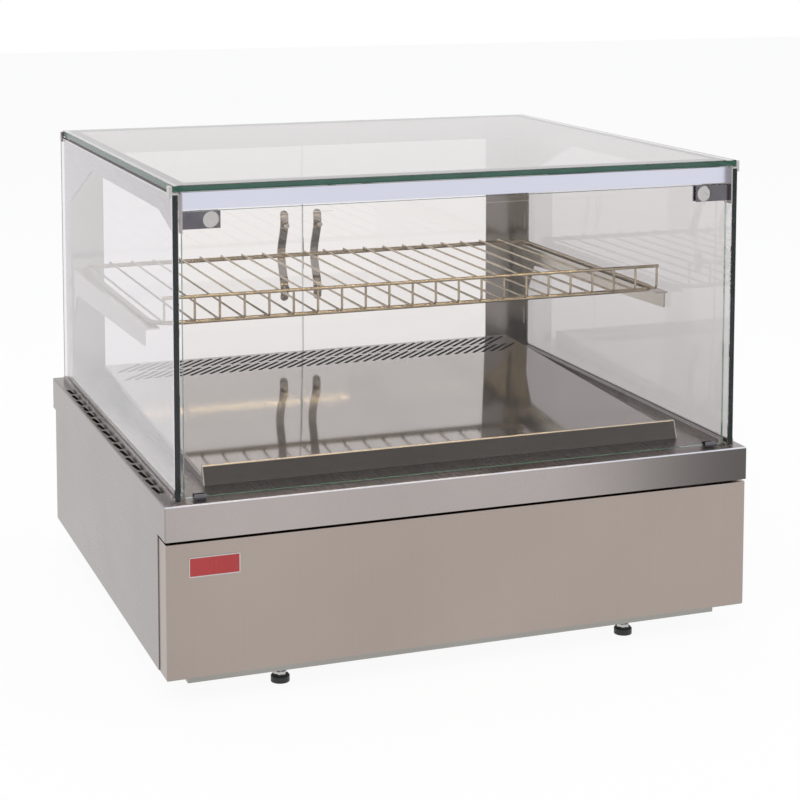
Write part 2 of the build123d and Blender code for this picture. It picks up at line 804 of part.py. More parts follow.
# Hermetic compressor: domed pot with a weld seam on a foot plate
pot_y = y_at(compressor_from_front)
pot_base = compressor_bottom + compressor_foot_sheet
with BuildPart() as compressor:
    with BuildSketch(Plane(origin=(compressor_x, pot_y, pot_base), x_dir=(1, 0, 0), z_dir=(0, -1, 0))):
        with BuildLine():
            top = Line((0, compressor_height), (compressor_radius * 0.45, compressor_height))
            dome = TangentArc(top @ 1, (compressor_radius, compressor_height * 0.68), tangent=top % 1)
            wall = Line(dome @ 1, (compressor_radius, compressor_height * 0.42))
            seam = Polyline(wall @ 1, (compressor_radius + seam_width, compressor_height * 0.41),
                            (compressor_radius + seam_width, compressor_height * 0.38),
                            (compressor_radius, compressor_height * 0.37))
            low = Line(seam @ 1, (compressor_radius, pot_round))
            Polyline(low @ 1, (compressor_radius - pot_round, 0), (0, 0), (0, compressor_height))
        make_face()
    revolve(axis=Axis((compressor_x, pot_y, 0), (0, 0, 1)))
    foot_x = compressor_foot_span / 2
    foot_d = compressor_foot_depth / 2
    block((compressor_x - foot_x, compressor_x + foot_x),
          (compressor_from_front - foot_d, compressor_from_front + foot_d), (compressor_bottom, pot_base))
    for sx in (-1, 1):
        for sd in (-1, 1):
            rod_z(compressor_x + sx * (foot_x - mount_radius),
                  compressor_from_front + sd * (foot_d - mount_radius),
                  (compressor_bottom, pot_base), mount_bolt_radius, mode=Mode.SUBTRACT)
    pot_front = compressor_from_front - compressor_radius
    block((compressor_x - terminal_half_width, compressor_x + terminal_half_width),
          (pot_front - terminal_reach, pot_front + terminal_root),
          (pot_base + terminal_lift, pot_base + terminal_lift + terminal_height))
save(compressor.part, "compressor")

# Rubber mounts with their bolts
with BuildPart() as compressor_mounts:
    for sx in (-1, 1):
        for sd in (-1, 1):
            x = compressor_x + sx * (foot_x - mount_radius)
            d = compressor_from_front + sd * (foot_d - mount_radius)
            rod_z(x, d, (pan_z + sheet, compressor_bottom), mount_radius - mount_rubber_inset)
            rod_z(x, d, (compressor_bottom, pot_base + mount_bolt_overrun), mount_bolt_radius)
            rod_z(x, d, (pot_base, pot_base + mount_nut_height), mount_radius - mount_nut_inset)
save(compressor_mounts.part, "compressor_mounts")

# Condenser: fin pack on tubes with end plates that stand on the pan
condenser_right = condenser_left + condenser_width
with BuildPart() as condenser:
    fins = int(condenser_width / condenser_fin_pitch) + 1
    for index in range(fins):
        x = condenser_left + index * condenser_fin_pitch
        block((x - coil_fin / 2, x + coil_fin / 2), (condenser_front, condenser_front + condenser_depth),
              (condenser_bottom, condenser_bottom + condenser_height))
    for row in range(2):
        for layer in range(5):
            rod_x((condenser_left - condenser_tube_overrun, condenser_right + condenser_tube_overrun),
                  condenser_front + condenser_tube_front_inset + row * condenser_tube_row_gap,
                  condenser_bottom + condenser_tube_bottom_inset + layer * condenser_tube_pitch,
                  coil_tube_radius)
    for x in (condenser_left, condenser_right):
        block((x - sheet / 2, x + sheet / 2), (condenser_front, condenser_front + condenser_depth),
              (pan_z + sheet, condenser_bottom + condenser_height))
save(condenser.part, "condenser")

# Condenser fan
hot_x = condenser_left + condenser_width / 2
hot_plate_front = condenser_front + condenser_depth + hot_fan_gap
hot_middle = condenser_bottom + condenser_height / 2
with BuildPart() as condenser_fan_frame:
    fan_frame(hot_x, hot_plate_front, pan_z + sheet, 2 * hot_middle - pan_z - sheet, condenser_width / 2,
              hot_fan_radius, hot_fan_plate)
    for x in (condenser_left, condenser_right):
        block((x - sheet, x + sheet), (condenser_front + condenser_depth, hot_plate_front),
              (condenser_bottom, condenser_bottom + condenser_height))
save(condenser_fan_frame.part, "condenser_fan_frame")
with BuildPart() as condenser_fan_blades:
    fan_blades(hot_x, hot_plate_front, hot_middle, hot_fan_radius)
save(condenser_fan_blades.part, "condenser_fan_blades")


def pipe(points, bend=14.0):
    """A round copper pipe along straight runs with bent corners."""
    with BuildLine() as route:
        FilletPolyline(*points, radius=bend)
    with BuildSketch(Plane(origin=route.line @ 0, z_dir=route.line % 0)) as bore:
        Circle(pipe_radius)
    sweep(bore.sketch, path=route.line)


# Refrigerant pipes with the filter drier
discharge_z = pot_base + compressor_height * 0.58
liquid_z = condenser_bottom + condenser_tube_bottom_inset
top_tube_z = liquid_z + 4 * condenser_tube_pitch
suction_z = pot_base + suction_lift
coil_end_x = condenser_right + condenser_tube_overrun
front_tube_d = condenser_front + condenser_tube_front_inset
rear_tube_d = front_tube_d + condenser_tube_row_gap
pot_side = compressor_x - compressor_radius
drier_end = drier_x + drier_length / 2
well_wall_d = well_front - liner - foam_wall
with BuildPart() as refrigerant_pipes:
    pipe([(pot_side, pot_y, discharge_z), (pot_side - discharge_reach, pot_y, discharge_z),
          (pot_side - discharge_reach, y_at(front_tube_d), top_tube_z),
          (coil_end_x, y_at(front_tube_d), top_tube_z)])
    rod_x((coil_end_x, drier_end - drier_length + drier_overlap), rear_tube_d, liquid_z, pipe_radius)
    rod_x((drier_end - drier_length, drier_end), rear_tube_d, liquid_z, drier_radius)
    pipe([(drier_end - drier_overlap, y_at(rear_tube_d), liquid_z),
          (drier_end + liquid_reach, y_at(rear_tube_d), liquid_z),
          (drier_end + liquid_reach, y_at(well_wall_d - pipe_wall_run), liquid_z + liquid_rise),
          (drier_end + liquid_reach, y_at(well_wall_d), liquid_z + liquid_rise)])
    suction_start = compressor_x - sqrt(compressor_radius ** 2 - suction_offset ** 2)
    suction_y = pot_y + suction_offset + pipe_radius
    pipe([(suction_start, suction_y, suction_z), (pot_side - suction_reach, suction_y, suction_z),
          (pot_side - suction_reach, y_at(well_wall_d - pipe_wall_run), suction_z + suction_rise),
          (pot_side - suction_reach, y_at(well_wall_d), suction_z + suction_rise)])
save(refrigerant_pipes.part, "refrigerant_pipes")

# Rails that hold the side panes
with BuildPart() as glass_channels:
    for side in (-1, 1):
        outer = side * (glass_outer + clear + channel_outer_lip)
        inner_edge = side * (glass_inner - clear - channel_inner_lip)
        block(sorted((outer, inner_edge)), (channel_front, channel_rear),
              (ledge_z, ledge_z + channel_height))
        block(sorted((side * (glass_outer + clear), side * (glass_inner - clear))),
              (channel_front, channel_rear), (ledge_z + sheet, ledge_z + channel_height),
              mode=Mode.SUBTRACT)
        lip_x = sorted((inner_edge - side, side * (glass_inner - clear)))
        block(lip_x, (channel_front, beam_front + front_glass_thickness + 2 * clear),
              (ledge_z, ledge_z + channel_height), mode=Mode.SUBTRACT)
        block(lip_x, (post_front - clear, channel_rear),
              (ledge_z, ledge_z + channel_height), mode=Mode.SUBTRACT)
        groove = side * (glass_inner - clear - channel_inner_lip / 2)
        block((groove - channel_groove_width / 2, groove + channel_groove_width / 2),
              (channel_front, channel_rear),
              (ledge_z + channel_height - channel_groove_depth, ledge_z + channel_height),
              mode=Mode.SUBTRACT)
save(glass_channels.part, "glass_channels")

# Fixed panes
side_glass_top = glass_top_z - top_glass_thickness - side_glass_drop - tape_thickness
with BuildPart() as side_glass_right:
    block((glass_inner, glass_outer), (glass_front_inset, side_glass_rear),
          (glass_bottom_z, side_glass_top))
save(mirrored(side_glass_right.part), "side_glass_left")
save(side_glass_right.part, "side_glass_right")
top_half = glass_outer - top_glass_side_inset
with BuildPart() as top_glass:
    block((-top_half, top_half), (glass_front_inset, top_glass_rear),
          (glass_top_z - top_glass_thickness, glass_top_z))
save(top_glass.part, "top_glass")

# Side frames: top rails with a gusset at each end, a flange under the top pane and the hinge pin hole
hinge_d = beam_front + front_glass_thickness / 2
swing_radius = sqrt((hinge_plate_height / 2) ** 2 + (front_glass_thickness / 2 + hinge_plate_thickness) ** 2)
hinge_z = beam_bottom_z - swing_radius - 2 * clear
rail_bottom = frame_top_z - frame_rail_height
with BuildPart() as side_frame_right:
    with BuildSketch(side_plane(frame_inner)):
        with BuildLine():
            Polyline(
                [
                    (y_at(frame_front), frame_top_z),
                    (y_at(post_rear), frame_top_z),
                    (y_at(post_rear), rear_gusset_z),
                    (y_at(post_front), rear_gusset_z),
                    (y_at(post_rear - rear_gusset_reach), rail_bottom),
                    (y_at(front_gusset_reach), rail_bottom),
                    (y_at(frame_front + front_gusset_toe), front_gusset_z),
                    (y_at(frame_front), front_gusset_z),
                ],
                close=True,
            )
        make_face()
    extrude(amount=frame_sheet)
    block((frame_outer - frame_top_flange, frame_outer),
          (beam_front + beam_depth, post_rear - header_depth),
          (frame_top_z - frame_sheet, frame_top_z))
    rod_x((frame_inner - 1, frame_outer + 1), hinge_d, hinge_z, hinge_pin_radius + running_fit,
          mode=Mode.SUBTRACT)
save(mirrored(side_frame_right.part), "side_frame_left")
save(side_frame_right.part, "side_frame_right")

# Front beam, a hollow section between the side frames
with BuildPart() as front_beam:
    block((-frame_inner, frame_inner), (beam_front, beam_front + beam_depth), (beam_bottom_z, frame_top_z))
    block((-frame_inner, frame_inner), (beam_front + beam_wall, beam_front + beam_depth - beam_wall),
          (beam_bottom_z + beam_wall, frame_top_z - beam_wall), mode=Mode.SUBTRACT)
save(front_beam.part, "front_beam")

# Light behind the beam: a channel that opens downwards, and its diffuser
light_front = beam_front + beam_depth
light_top = frame_top_z - light_drop
half_light = frame_inner - light_end_gap
with BuildPart() as led_profile:
    block((-half_light, half_light), (light_front, light_front + light_depth),
          (light_top - light_height, light_top))
    block((-half_light, half_light), (light_front + light_wall, light_front + light_depth - light_wall),
          (light_top - light_height, light_top - light_wall), mode=Mode.SUBTRACT)
save(led_profile.part, "led_profile")
with BuildPart() as led_diffuser:
    block((-half_light + diffuser_end_gap, half_light - diffuser_end_gap),
          (light_front + light_wall, light_front + light_depth - light_wall),
          (light_top - light_height, light_top - light_height + diffuser_thickness))
save(led_diffuser.part, "led_diffuser")

# Tape that the top pane lies on
with BuildPart() as glass_seal:
    tape_z = (frame_top_z, frame_top_z + tape_thickness)
    block((-frame_outer, frame_outer), (beam_front, beam_front + beam_depth - tape_rear_gap), tape_z)
    block((-frame_outer, frame_outer), (post_rear - header_depth, top_glass_rear - tape_end_gap), tape_z)
    for side in (-1, 1):
        block(sorted((side * (frame_outer - frame_top_flange), side * frame_outer)),
              (beam_front, top_glass_rear - tape_end_gap), tape_z)
save(glass_seal.part, "glass_seal")

# Rear posts: angle profiles with hook slots in the side flange
with BuildPart() as rear_post_right:
    block((frame_inner, frame_outer), (post_front, post_rear), (ledge_z, rear_gusset_z))
    block((frame_outer - post_rear_flange, frame_inner), (post_rear - frame_sheet, post_rear),
          (ledge_z, frame_top_z - header_height))
    for index in range(post_slot_count - 1):
        middle = post_slot_lowest + index * post_slot_pitch
        slot_d = post_front + post_slot_inset
        block((frame_inner, frame_outer), (slot_d, slot_d + post_slot_width),
              (middle - post_slot_length / 2, middle + post_slot_length / 2), mode=Mode.SUBTRACT)
save(mirrored(rear_post_right.part), "rear_post_left")
save(rear_post_right.part, "rear_post_right")

# Header over the doors
with BuildPart() as rear_header:
    block((-frame_inner, frame_inner), (post_rear - header_depth, post_rear),
          (frame_top_z - header_height, frame_top_z))
    block((-frame_inner, frame_inner), (post_rear - header_depth + frame_sheet, post_rear),
          (frame_top_z - header_height + frame_sheet, frame_top_z - frame_sheet), mode=Mode.SUBTRACT)
save(rear_header.part, "rear_header")

# Corner clips beside the top pane, hooked over the side panes
with BuildPart() as corner_clips:
    clip_in = top_half + clear
    clip_out = clip_in + clip_thickness
    for side in (-1, 1):
        for near in (glass_front_inset + clip_end_gap, top_glass_rear - clip_end_gap - clip_length):
            clip_d = (near, near + clip_length)
            block(sorted((side * clip_in, side * clip_out)), clip_d,
                  (side_glass_top - clip_skirt, glass_top_z - clip_top_drop))
            block(sorted((side * (glass_inner + clip_end_gap), side * clip_out)), clip_d,
                  (side_glass_top, side_glass_top + side_glass_drop))
            block(sorted((side * (glass_inner + clip_end_gap), side * (glass_outer + running_fit))), clip_d,
                  (side_glass_top - clip_skirt, side_glass_top), mode=Mode.SUBTRACT)
save(corner_clips.part, "corner_clips")

# Front glass with its corners cut away for the hinge blocks
front_half = glass_inner - front_glass_side_gap
hinge_outer = frame_inner - clear
plate_top = hinge_z + hinge_plate_height / 2
plate_bottom = hinge_z - hinge_plate_height / 2
front_glass_bottom = ledge_z + front_glass_bottom_gap
glass_rear_face = beam_front + front_glass_thickness
with BuildPart() as front_glass:
    block((-front_half, front_half), (beam_front, glass_rear_face), (front_glass_bottom, plate_top))
    for side in (-1, 1):
        block(sorted((side * (hinge_outer - hinge_block), side * (front_half + 1))),
              (beam_front, glass_rear_face),
              (plate_bottom, plate_top), mode=Mode.SUBTRACT)
        rod_y(side * (hinge_outer - hinge_head_inset), (beam_front, glass_rear_face), hinge_z,
              hinge_pin_radius, mode=Mode.SUBTRACT)
save(front_glass.part, "front_glass")

# Hinge plates: outer and inner plate, corner block, pivot pin and domed slotted screw on each side
with BuildPart() as hinge_plates:
    for side in (-1, 1):
        plate_x = sorted((side * hinge_outer, side * (hinge_outer - hinge_plate_length)))
        block(plate_x, (beam_front - hinge_plate_thickness, beam_front), (plate_bottom, plate_top))
        block(plate_x, (glass_rear_face, glass_rear_face + hinge_plate_thickness),
              (plate_bottom, plate_top))
        block(sorted((side * hinge_outer, side * (hinge_outer - hinge_block))),
              (beam_front, glass_rear_face),
              (plate_bottom, plate_top))
        rod_x(sorted((side * hinge_outer, side * (frame_outer + clear))), hinge_d, hinge_z,
              hinge_pin_radius)
        rod_y(side * (hinge_outer - hinge_head_inset), (beam_front, glass_rear_face), hinge_z,
              hinge_pin_radius)
    for side in (-1, 1):
        x = side * (hinge_outer - hinge_head_inset)
        base = beam_front - hinge_plate_thickness
        sphere_radius = (hinge_head_radius ** 2 + hinge_head_height ** 2) / (2 * hinge_head_height)
        with BuildPart(mode=Mode.PRIVATE) as head:
            with Locations((x, y_at(base - hinge_head_height + sphere_radius), hinge_z)):
                Sphere(sphere_radius)
            block((x - sphere_radius, x + sphere_radius), (base, base + 2 * sphere_radius),
                  (hinge_z - sphere_radius, hinge_z + sphere_radius), mode=Mode.SUBTRACT)
            with BuildSketch(front_plane(base - hinge_head_height)):
                with Locations(Location((x, hinge_z), -45)):
                    Rectangle(2 * hinge_head_radius, hinge_slot_width)
            extrude(amount=-hinge_slot_depth, mode=Mode.SUBTRACT)
        add(head.part)
save(hinge_plates.part, "hinge_plates")

# Dark caps on the bottom corners of the front glass
with BuildPart() as glass_edge_caps:
    for side in (-1, 1):
        cap_end = front_half - edge_cap_inset
        cap_x = sorted((side * cap_end, side * (cap_end - edge_cap_length)))
        cap_bottom = ledge_z + edge_cap_lift
        block(cap_x, (beam_front - edge_cap_wall, glass_rear_face + edge_cap_wall),
              (cap_bottom, cap_bottom + edge_cap_height))
        block(cap_x, (beam_front, glass_rear_face), (front_glass_bottom, cap_bottom + edge_cap_height),
              mode=Mode.SUBTRACT)
save(glass_edge_caps.part, "glass_edge_caps")

# Rear doors: glass, pivot stile with pins, and the bushes they turn in
pivot_x = glass_inner - door_pivot_inset
pivot_d = door_front + door_glass_thickness / 2
door_bottom = ledge_z + door_bottom_gap
door_top = frame_top_z - door_top_gap
glass_edge_x = pivot_x - stile_radius - stile_glass_gap
with BuildPart() as rear_door_right:
    block((door_seam_gap / 2, glass_edge_x), (door_front, door_rear), (door_bottom, door_top))
    for end in (-1, 1):
        rod_y(handle_seam_offset, (door_front, door_rear), handle_middle_z + end * handle_screw_spacing / 2,
              handle_screw_radius, mode=Mode.SUBTRACT)
save(mirrored(rear_door_right.part), "rear_door_left")
save(rear_door_right.part, "rear_door_right")
with BuildPart() as door_stile_right:
    rod_z(pivot_x, pivot_d, (door_bottom, door_top), stile_radius)
    block((pivot_x - stile_grip, pivot_x), (door_front - stile_wall, door_rear + stile_wall),
          (door_bottom, door_top))
    block((pivot_x - stile_grip, glass_edge_x), (door_front, door_rear), (door_bottom, door_top),
          mode=Mode.SUBTRACT)
    rod_z(pivot_x, pivot_d, (door_bottom - pivot_pin_length, door_top + pivot_pin_length), pivot_pin_radius)
save(mirrored(door_stile_right.part), "door_stile_left")
save(door_stile_right.part, "door_stile_right")
with BuildPart() as door_pivot_blocks:
    for side in (-1, 1):
        block_x = sorted((side * (pivot_x - pivot_block_size / 2), side * (pivot_x + pivot_block_size / 2)))
        block(block_x, (post_rear, pivot_d + pivot_block_size / 2), (ledge_z, ledge_z + pivot_block_height))
        block(block_x, (post_rear, pivot_d + pivot_block_size / 2),
              (frame_top_z - pivot_block_height, frame_top_z))
        rod_z(side * pivot_x, pivot_d, (ledge_z, frame_top_z), pivot_pin_radius + running_fit,
              mode=Mode.SUBTRACT)
save(door_pivot_blocks.part, "door_pivot_blocks")

# Bowed strip handles with standoffs and cap nuts
screw_low = handle_middle_z - handle_screw_spacing / 2
screw_high = handle_middle_z + handle_screw_spacing / 2
with BuildPart() as door_handle_right:
    near = door_rear + handle_standoff + handle_thickness / 2
    far = near + handle_bow
    with BuildSketch(side_plane(handle_seam_offset - handle_width / 2)) as strip:
        with BuildLine() as centre:
            Spline(
                (y_at(near + 4), screw_high + handle_tip),
                (y_at(near + 1.5), screw_high),
                (y_at(far), handle_middle_z),
                (y_at(near + 1.5), screw_low),
                (y_at(near + 4), screw_low - handle_tip),
            )
        trace(line_width=handle_thickness)
    extrude(amount=handle_width)
    with BuildSketch(front_plane(far + 10)):
        with Locations((handle_seam_offset, handle_middle_z)):
            SlotOverall(handle_screw_spacing + 2 * handle_tip, handle_width, rotation=90)
    extrude(amount=handle_bow + 20, mode=Mode.INTERSECT)
    for z in (screw_low, screw_high):
        rod_y(handle_seam_offset, (door_rear, near + 1), z, cap_nut_radius)
        rod_y(handle_seam_offset, (door_front - 1, door_rear), z, handle_screw_radius)
        rod_y(handle_seam_offset, (door_front - cap_nut_height, door_front), z, cap_nut_radius)
save(mirrored(door_handle_right.part), "door_handle_left")
save(door_handle_right.part, "door_handle_right")

# Shelf brackets: tapered flange with a seat on top and two hooks in the post slots
bracket_top = shelf_z - shelf_frame_wire - clear
bracket_rear = post_front + post_slot_inset + post_slot_width
with BuildPart() as shelf_bracket_right:
    with BuildSketch(side_plane(frame_inner - frame_sheet)):
        with BuildLine():
            Polyline(
                [
                    (y_at(bracket_front), bracket_top),
                    (y_at(bracket_rear), bracket_top),
                    (y_at(bracket_rear), bracket_top - bracket_heel_height),
                    (y_at(bracket_rear - bracket_heel_foot), bracket_top - bracket_heel_height),
                    (y_at(bracket_rear - bracket_heel_length), bracket_top - bracket_rear_height),
                    (y_at(bracket_front), bracket_top - bracket_front_height),
                ],
                close=True,
            )
        make_face()
    extrude(amount=frame_sheet)
    block((frame_inner - bracket_top_flange, frame_inner),
          (bracket_front - bracket_flange_overrun, bracket_rear - bracket_flange_rear_gap),
          (bracket_top - frame_sheet, bracket_top))
    hook_d = bracket_rear - (post_slot_width - hook_width) / 2
    for index in (1, 2):
        middle = post_slot_lowest + index * post_slot_pitch
        block((frame_inner, frame_outer + 1), (hook_d - hook_width, hook_d),
              (middle - hook_height / 2, middle + hook_height / 2))
save(mirrored(shelf_bracket_right.part), "shelf_bracket_left")
save(shelf_bracket_right.part, "shelf_bracket_right")

# Wire shelf: round-cornered frame, a rear rail, and cross wires that run past the front up to the gallery rail
wire_z = shelf_z + shelf_frame_wire + shelf_cross_wire - shelf_wire_sink
wire_pitch = shelf_wire_span / (shelf_wire_count - 1)
gallery_d = shelf_front - gallery_reach
gallery_z = wire_z + gallery_height
with BuildPart() as wire_shelf:
    shelf_middle = y_at((shelf_front + shelf_rear) / 2)
    with BuildSketch(Plane.XY.offset(shelf_z), mode=Mode.PRIVATE) as outline:
        with Locations((0, shelf_middle)):
            RectangleRounded(2 * shelf_half_width, shelf_rear - shelf_front, shelf_corner)
    ring = outline.sketch.face().outer_wire()
    with BuildSketch(Plane(origin=ring @ 0, z_dir=ring % 0)):
        Circle(shelf_frame_wire)
    sweep(path=ring)
    rod_x((-shelf_half_width, shelf_half_width), shelf_rear - shelf_rear_rail_inset, shelf_z,
          shelf_rear_rail_radius)
    gallery_half = shelf_wire_span / 2 + gallery_end
    rod_x((-gallery_half, gallery_half), gallery_d, gallery_z, gallery_wire)
    for index in range(shelf_wire_count):
        x = -shelf_wire_span / 2 + index * wire_pitch
        with BuildLine() as wire_path:
            FilletPolyline((x, y_at(shelf_rear + shelf_wire_rear_overrun), wire_z),
                           (x, y_at(gallery_d), wire_z),
                           (x, y_at(gallery_d), gallery_z), radius=gallery_bend)
        with BuildSketch(Plane(origin=wire_path.line @ 0, z_dir=wire_path.line % 0)):
            Circle(shelf_cross_wire)
        sweep(path=wire_path.line)
save(wire_shelf.part, "wire_shelf")

# Deck: sloped plate with turned-down sides and four rows of slanted slots along its rear
slope = tan(radians(deck_slope))
deck_front_z = deck_rear_z - slope * (deck_rear - deck_front)
deck_foot_z = ledge_z + clear
deck_profile = [(deck_front, deck_foot_z), (deck_rear, deck_foot_z), (deck_rear, deck_rear_z),
                (deck_front, deck_front_z)]
with BuildPart() as deck:
    with BuildSketch(side_plane(-deck_half_width)):
        with BuildLine():
            Polyline([(y_at(d), z) for d, z in deck_profile], close=True)
        make_face()
    extrude(amount=2 * deck_half_width)
    deck_top_edges = deck.faces().sort_by(Axis.Z)[-1].edges()
    fillet(deck_top_edges.filter_by(lambda edge: edge.center().Y > y_at(deck_front) + 1),
           radius=deck_corner)
    with BuildSketch(side_plane(-deck_half_width + sheet)):
        with BuildLine():
            Polyline(
                [
                    (y_at(deck_front), 0),
                    (y_at(deck_rear - sheet), 0),
                    (y_at(deck_rear - sheet), deck_rear_z - sheet),
                    (y_at(deck_front), deck_front_z - sheet),
                ],
                close=True,
            )
        make_face()
    extrude(amount=2 * (deck_half_width - sheet), mode=Mode.SUBTRACT)
    slot_run = slot_length - slot_width
    slot_reach_x = slot_run * cos(radians(slot_slant)) + slot_width
    slot_reach_d = slot_run * sin(radians(slot_slant)) + slot_width
    row_first = deck_rear - slot_strip_rear - slot_reach_d / 2
    slot_columns = int((2 * (deck_half_width - slot_side_margin) - slot_reach_x) / slot_pitch) + 1
    with BuildSketch(Plane.XY.offset(deck_rear_z + 5)):
        for row in range(slot_rows):
            with Locations((row * slot_row_shift, y_at(row_first - row * slot_row_pitch))):
                with GridLocations(slot_pitch, slot_row_pitch, slot_columns, 1):
                    SlotOverall(slot_length, slot_width, rotation=slot_slant)
    extrude(amount=-20, mode=Mode.SUBTRACT)
save(deck.part, "deck")

# Front lip of the deck: a hemmed strip that stands a little over the plate
with BuildPart() as deck_lip:
    lip_front = deck_front - lip_thickness - lip_foot_reach
    with BuildSketch(side_plane(-deck_half_width)):
        with BuildLine():
            Polyline(
                [
                    (y_at(deck_front), deck_foot_z),
                    (y_at(deck_front), lip_top_z),
                    (y_at(deck_front - lip_thickness), lip_top_z),
                    (y_at(lip_front), deck_foot_z),
                ],
                close=True,
            )
        make_face()
    extrude(amount=2 * deck_half_width)
    fillet(deck_lip.edges().group_by(Axis.Z)[-1].filter_by(Axis.X), radius=lip_round)
    with BuildSketch(side_plane(-deck_half_width + sheet)):
        with BuildLine():
            Polyline(
                [
                    (y_at(deck_front - sheet), 0),
                    (y_at(deck_front - sheet), lip_top_z - lip_top_solid),
                    (y_at(lip_front + 2 * sheet), 0),
                ],
                close=True,
            )
        make_face()
    extrude(amount=2 * (deck_half_width - sheet), mode=Mode.SUBTRACT)
save(deck_lip.part, "deck_lip")

# Screws in the service panel
with BuildPart() as frame_screws:
    for x in (-half_width + screw_side_inset, -half_width / 3, half_width / 3,
              half_width - screw_side_inset):
        for z in (body_bottom_z + screw_end_inset, service_top - screw_end_inset):
            rod_y(x, (rear_face, rear_face + screw_head_height), z, screw_head_radius)
save(frame_screws.part, "frame_screws")

print("overall depth", overall_depth, "front y", front_y)
print("hinge axis", y_at(hinge_d), hinge_z, "pivot", pivot_x, y_at(pivot_d))
print("rocker axis", y_at(rocker_hinge_d), control_z, "fans", y_at(cold_plate_front), cold_middle,
      hot_x, hot_middle)
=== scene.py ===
"""Looks of a refrigerated countertop display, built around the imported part.

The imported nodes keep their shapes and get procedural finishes. Panes, louvre hoods, screws, weld beads, the
display window and the guard of the fan are modelled here. Everything is in metres in the frame of the part.
"""

import logging
import math
from dataclasses import dataclass, field, replace
from enum import Enum
from typing import Callable, Iterable, Sequence

import bpy
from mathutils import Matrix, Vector


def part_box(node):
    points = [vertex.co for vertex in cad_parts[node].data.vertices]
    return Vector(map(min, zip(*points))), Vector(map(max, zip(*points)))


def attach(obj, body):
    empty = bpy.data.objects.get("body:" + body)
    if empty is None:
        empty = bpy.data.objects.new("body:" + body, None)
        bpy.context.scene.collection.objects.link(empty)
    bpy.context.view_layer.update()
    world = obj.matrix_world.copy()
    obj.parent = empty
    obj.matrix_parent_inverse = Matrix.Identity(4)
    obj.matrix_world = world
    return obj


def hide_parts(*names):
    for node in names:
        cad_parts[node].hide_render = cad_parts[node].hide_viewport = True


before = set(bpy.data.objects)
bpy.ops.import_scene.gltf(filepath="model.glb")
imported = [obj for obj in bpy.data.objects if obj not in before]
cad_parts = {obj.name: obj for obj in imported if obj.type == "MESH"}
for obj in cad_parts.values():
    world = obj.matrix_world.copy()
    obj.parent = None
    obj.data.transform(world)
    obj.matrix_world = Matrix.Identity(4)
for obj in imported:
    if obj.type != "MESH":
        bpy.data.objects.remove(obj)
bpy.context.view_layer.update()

log = logging.getLogger("countertop_display")
logging.basicConfig(level=logging.INFO, format="%(name)s: %(message)s")

MM = 0.001
FRAME_PIXELS = 800

Colour = tuple[float, float, float]
Point = tuple[float, float, float]


class Direction(Enum):
    """One of the frame's own directions."""

    ACROSS = 0
    DEEP = 1
    UP = 2


class Part(Enum):
    """What is picked on a mesh."""

    FACE = "FACE"
    EDGE = "EDGE"


# Shader graph


class Value:
    """A number carried by a shader socket. Python operators on it add Math nodes."""

    def __init__(self, graph: "Graph", socket: bpy.types.NodeSocket) -> None:
        """Keep the socket and the graph that it belongs to.

        Args:
            graph: the graph that new nodes go into.
            socket: the output that carries the number.
        """
        self.graph = graph
        self.socket = socket

    def math(self, operation: str, first: "Value | float", second: "Value | float" = 0.0) -> "Value":
        """Add one Math node.

        Args:
            operation: the node's operation.
            first: its first value.
            second: its second value.

        Returns:
            The result as a value.
        """
        node = self.graph.add("ShaderNodeMath", {"operation": operation}, {0: first, 1: second})
        return Value(self.graph, node.outputs[0])

    def __add__(self, other: "Value | float") -> "Value":
        """Sum."""
        return self.math("ADD", self, other)

    __radd__ = __add__

    def __sub__(self, other: "Value | float") -> "Value":
        """Difference."""
        return self.math("SUBTRACT", self, other)

    def __rsub__(self, other: float) -> "Value":
        """Difference with a plain number first."""
        return self.math("SUBTRACT", other, self)

    def __mul__(self, other: "Value | float") -> "Value":
        """Product."""
        return self.math("MULTIPLY", self, other)

    __rmul__ = __mul__

    def __abs__(self) -> "Value":
        """Size without the sign."""
        return self.math("ABSOLUTE", self)

    def below(self, limit: float) -> "Value":
        """1 where the value is under the limit, 0 elsewhere."""
        return self.math("LESS_THAN", self, limit)

    def most(self, other: "Value | float") -> "Value":
        """The larger of two values."""
        return self.math("MAXIMUM", self, other)


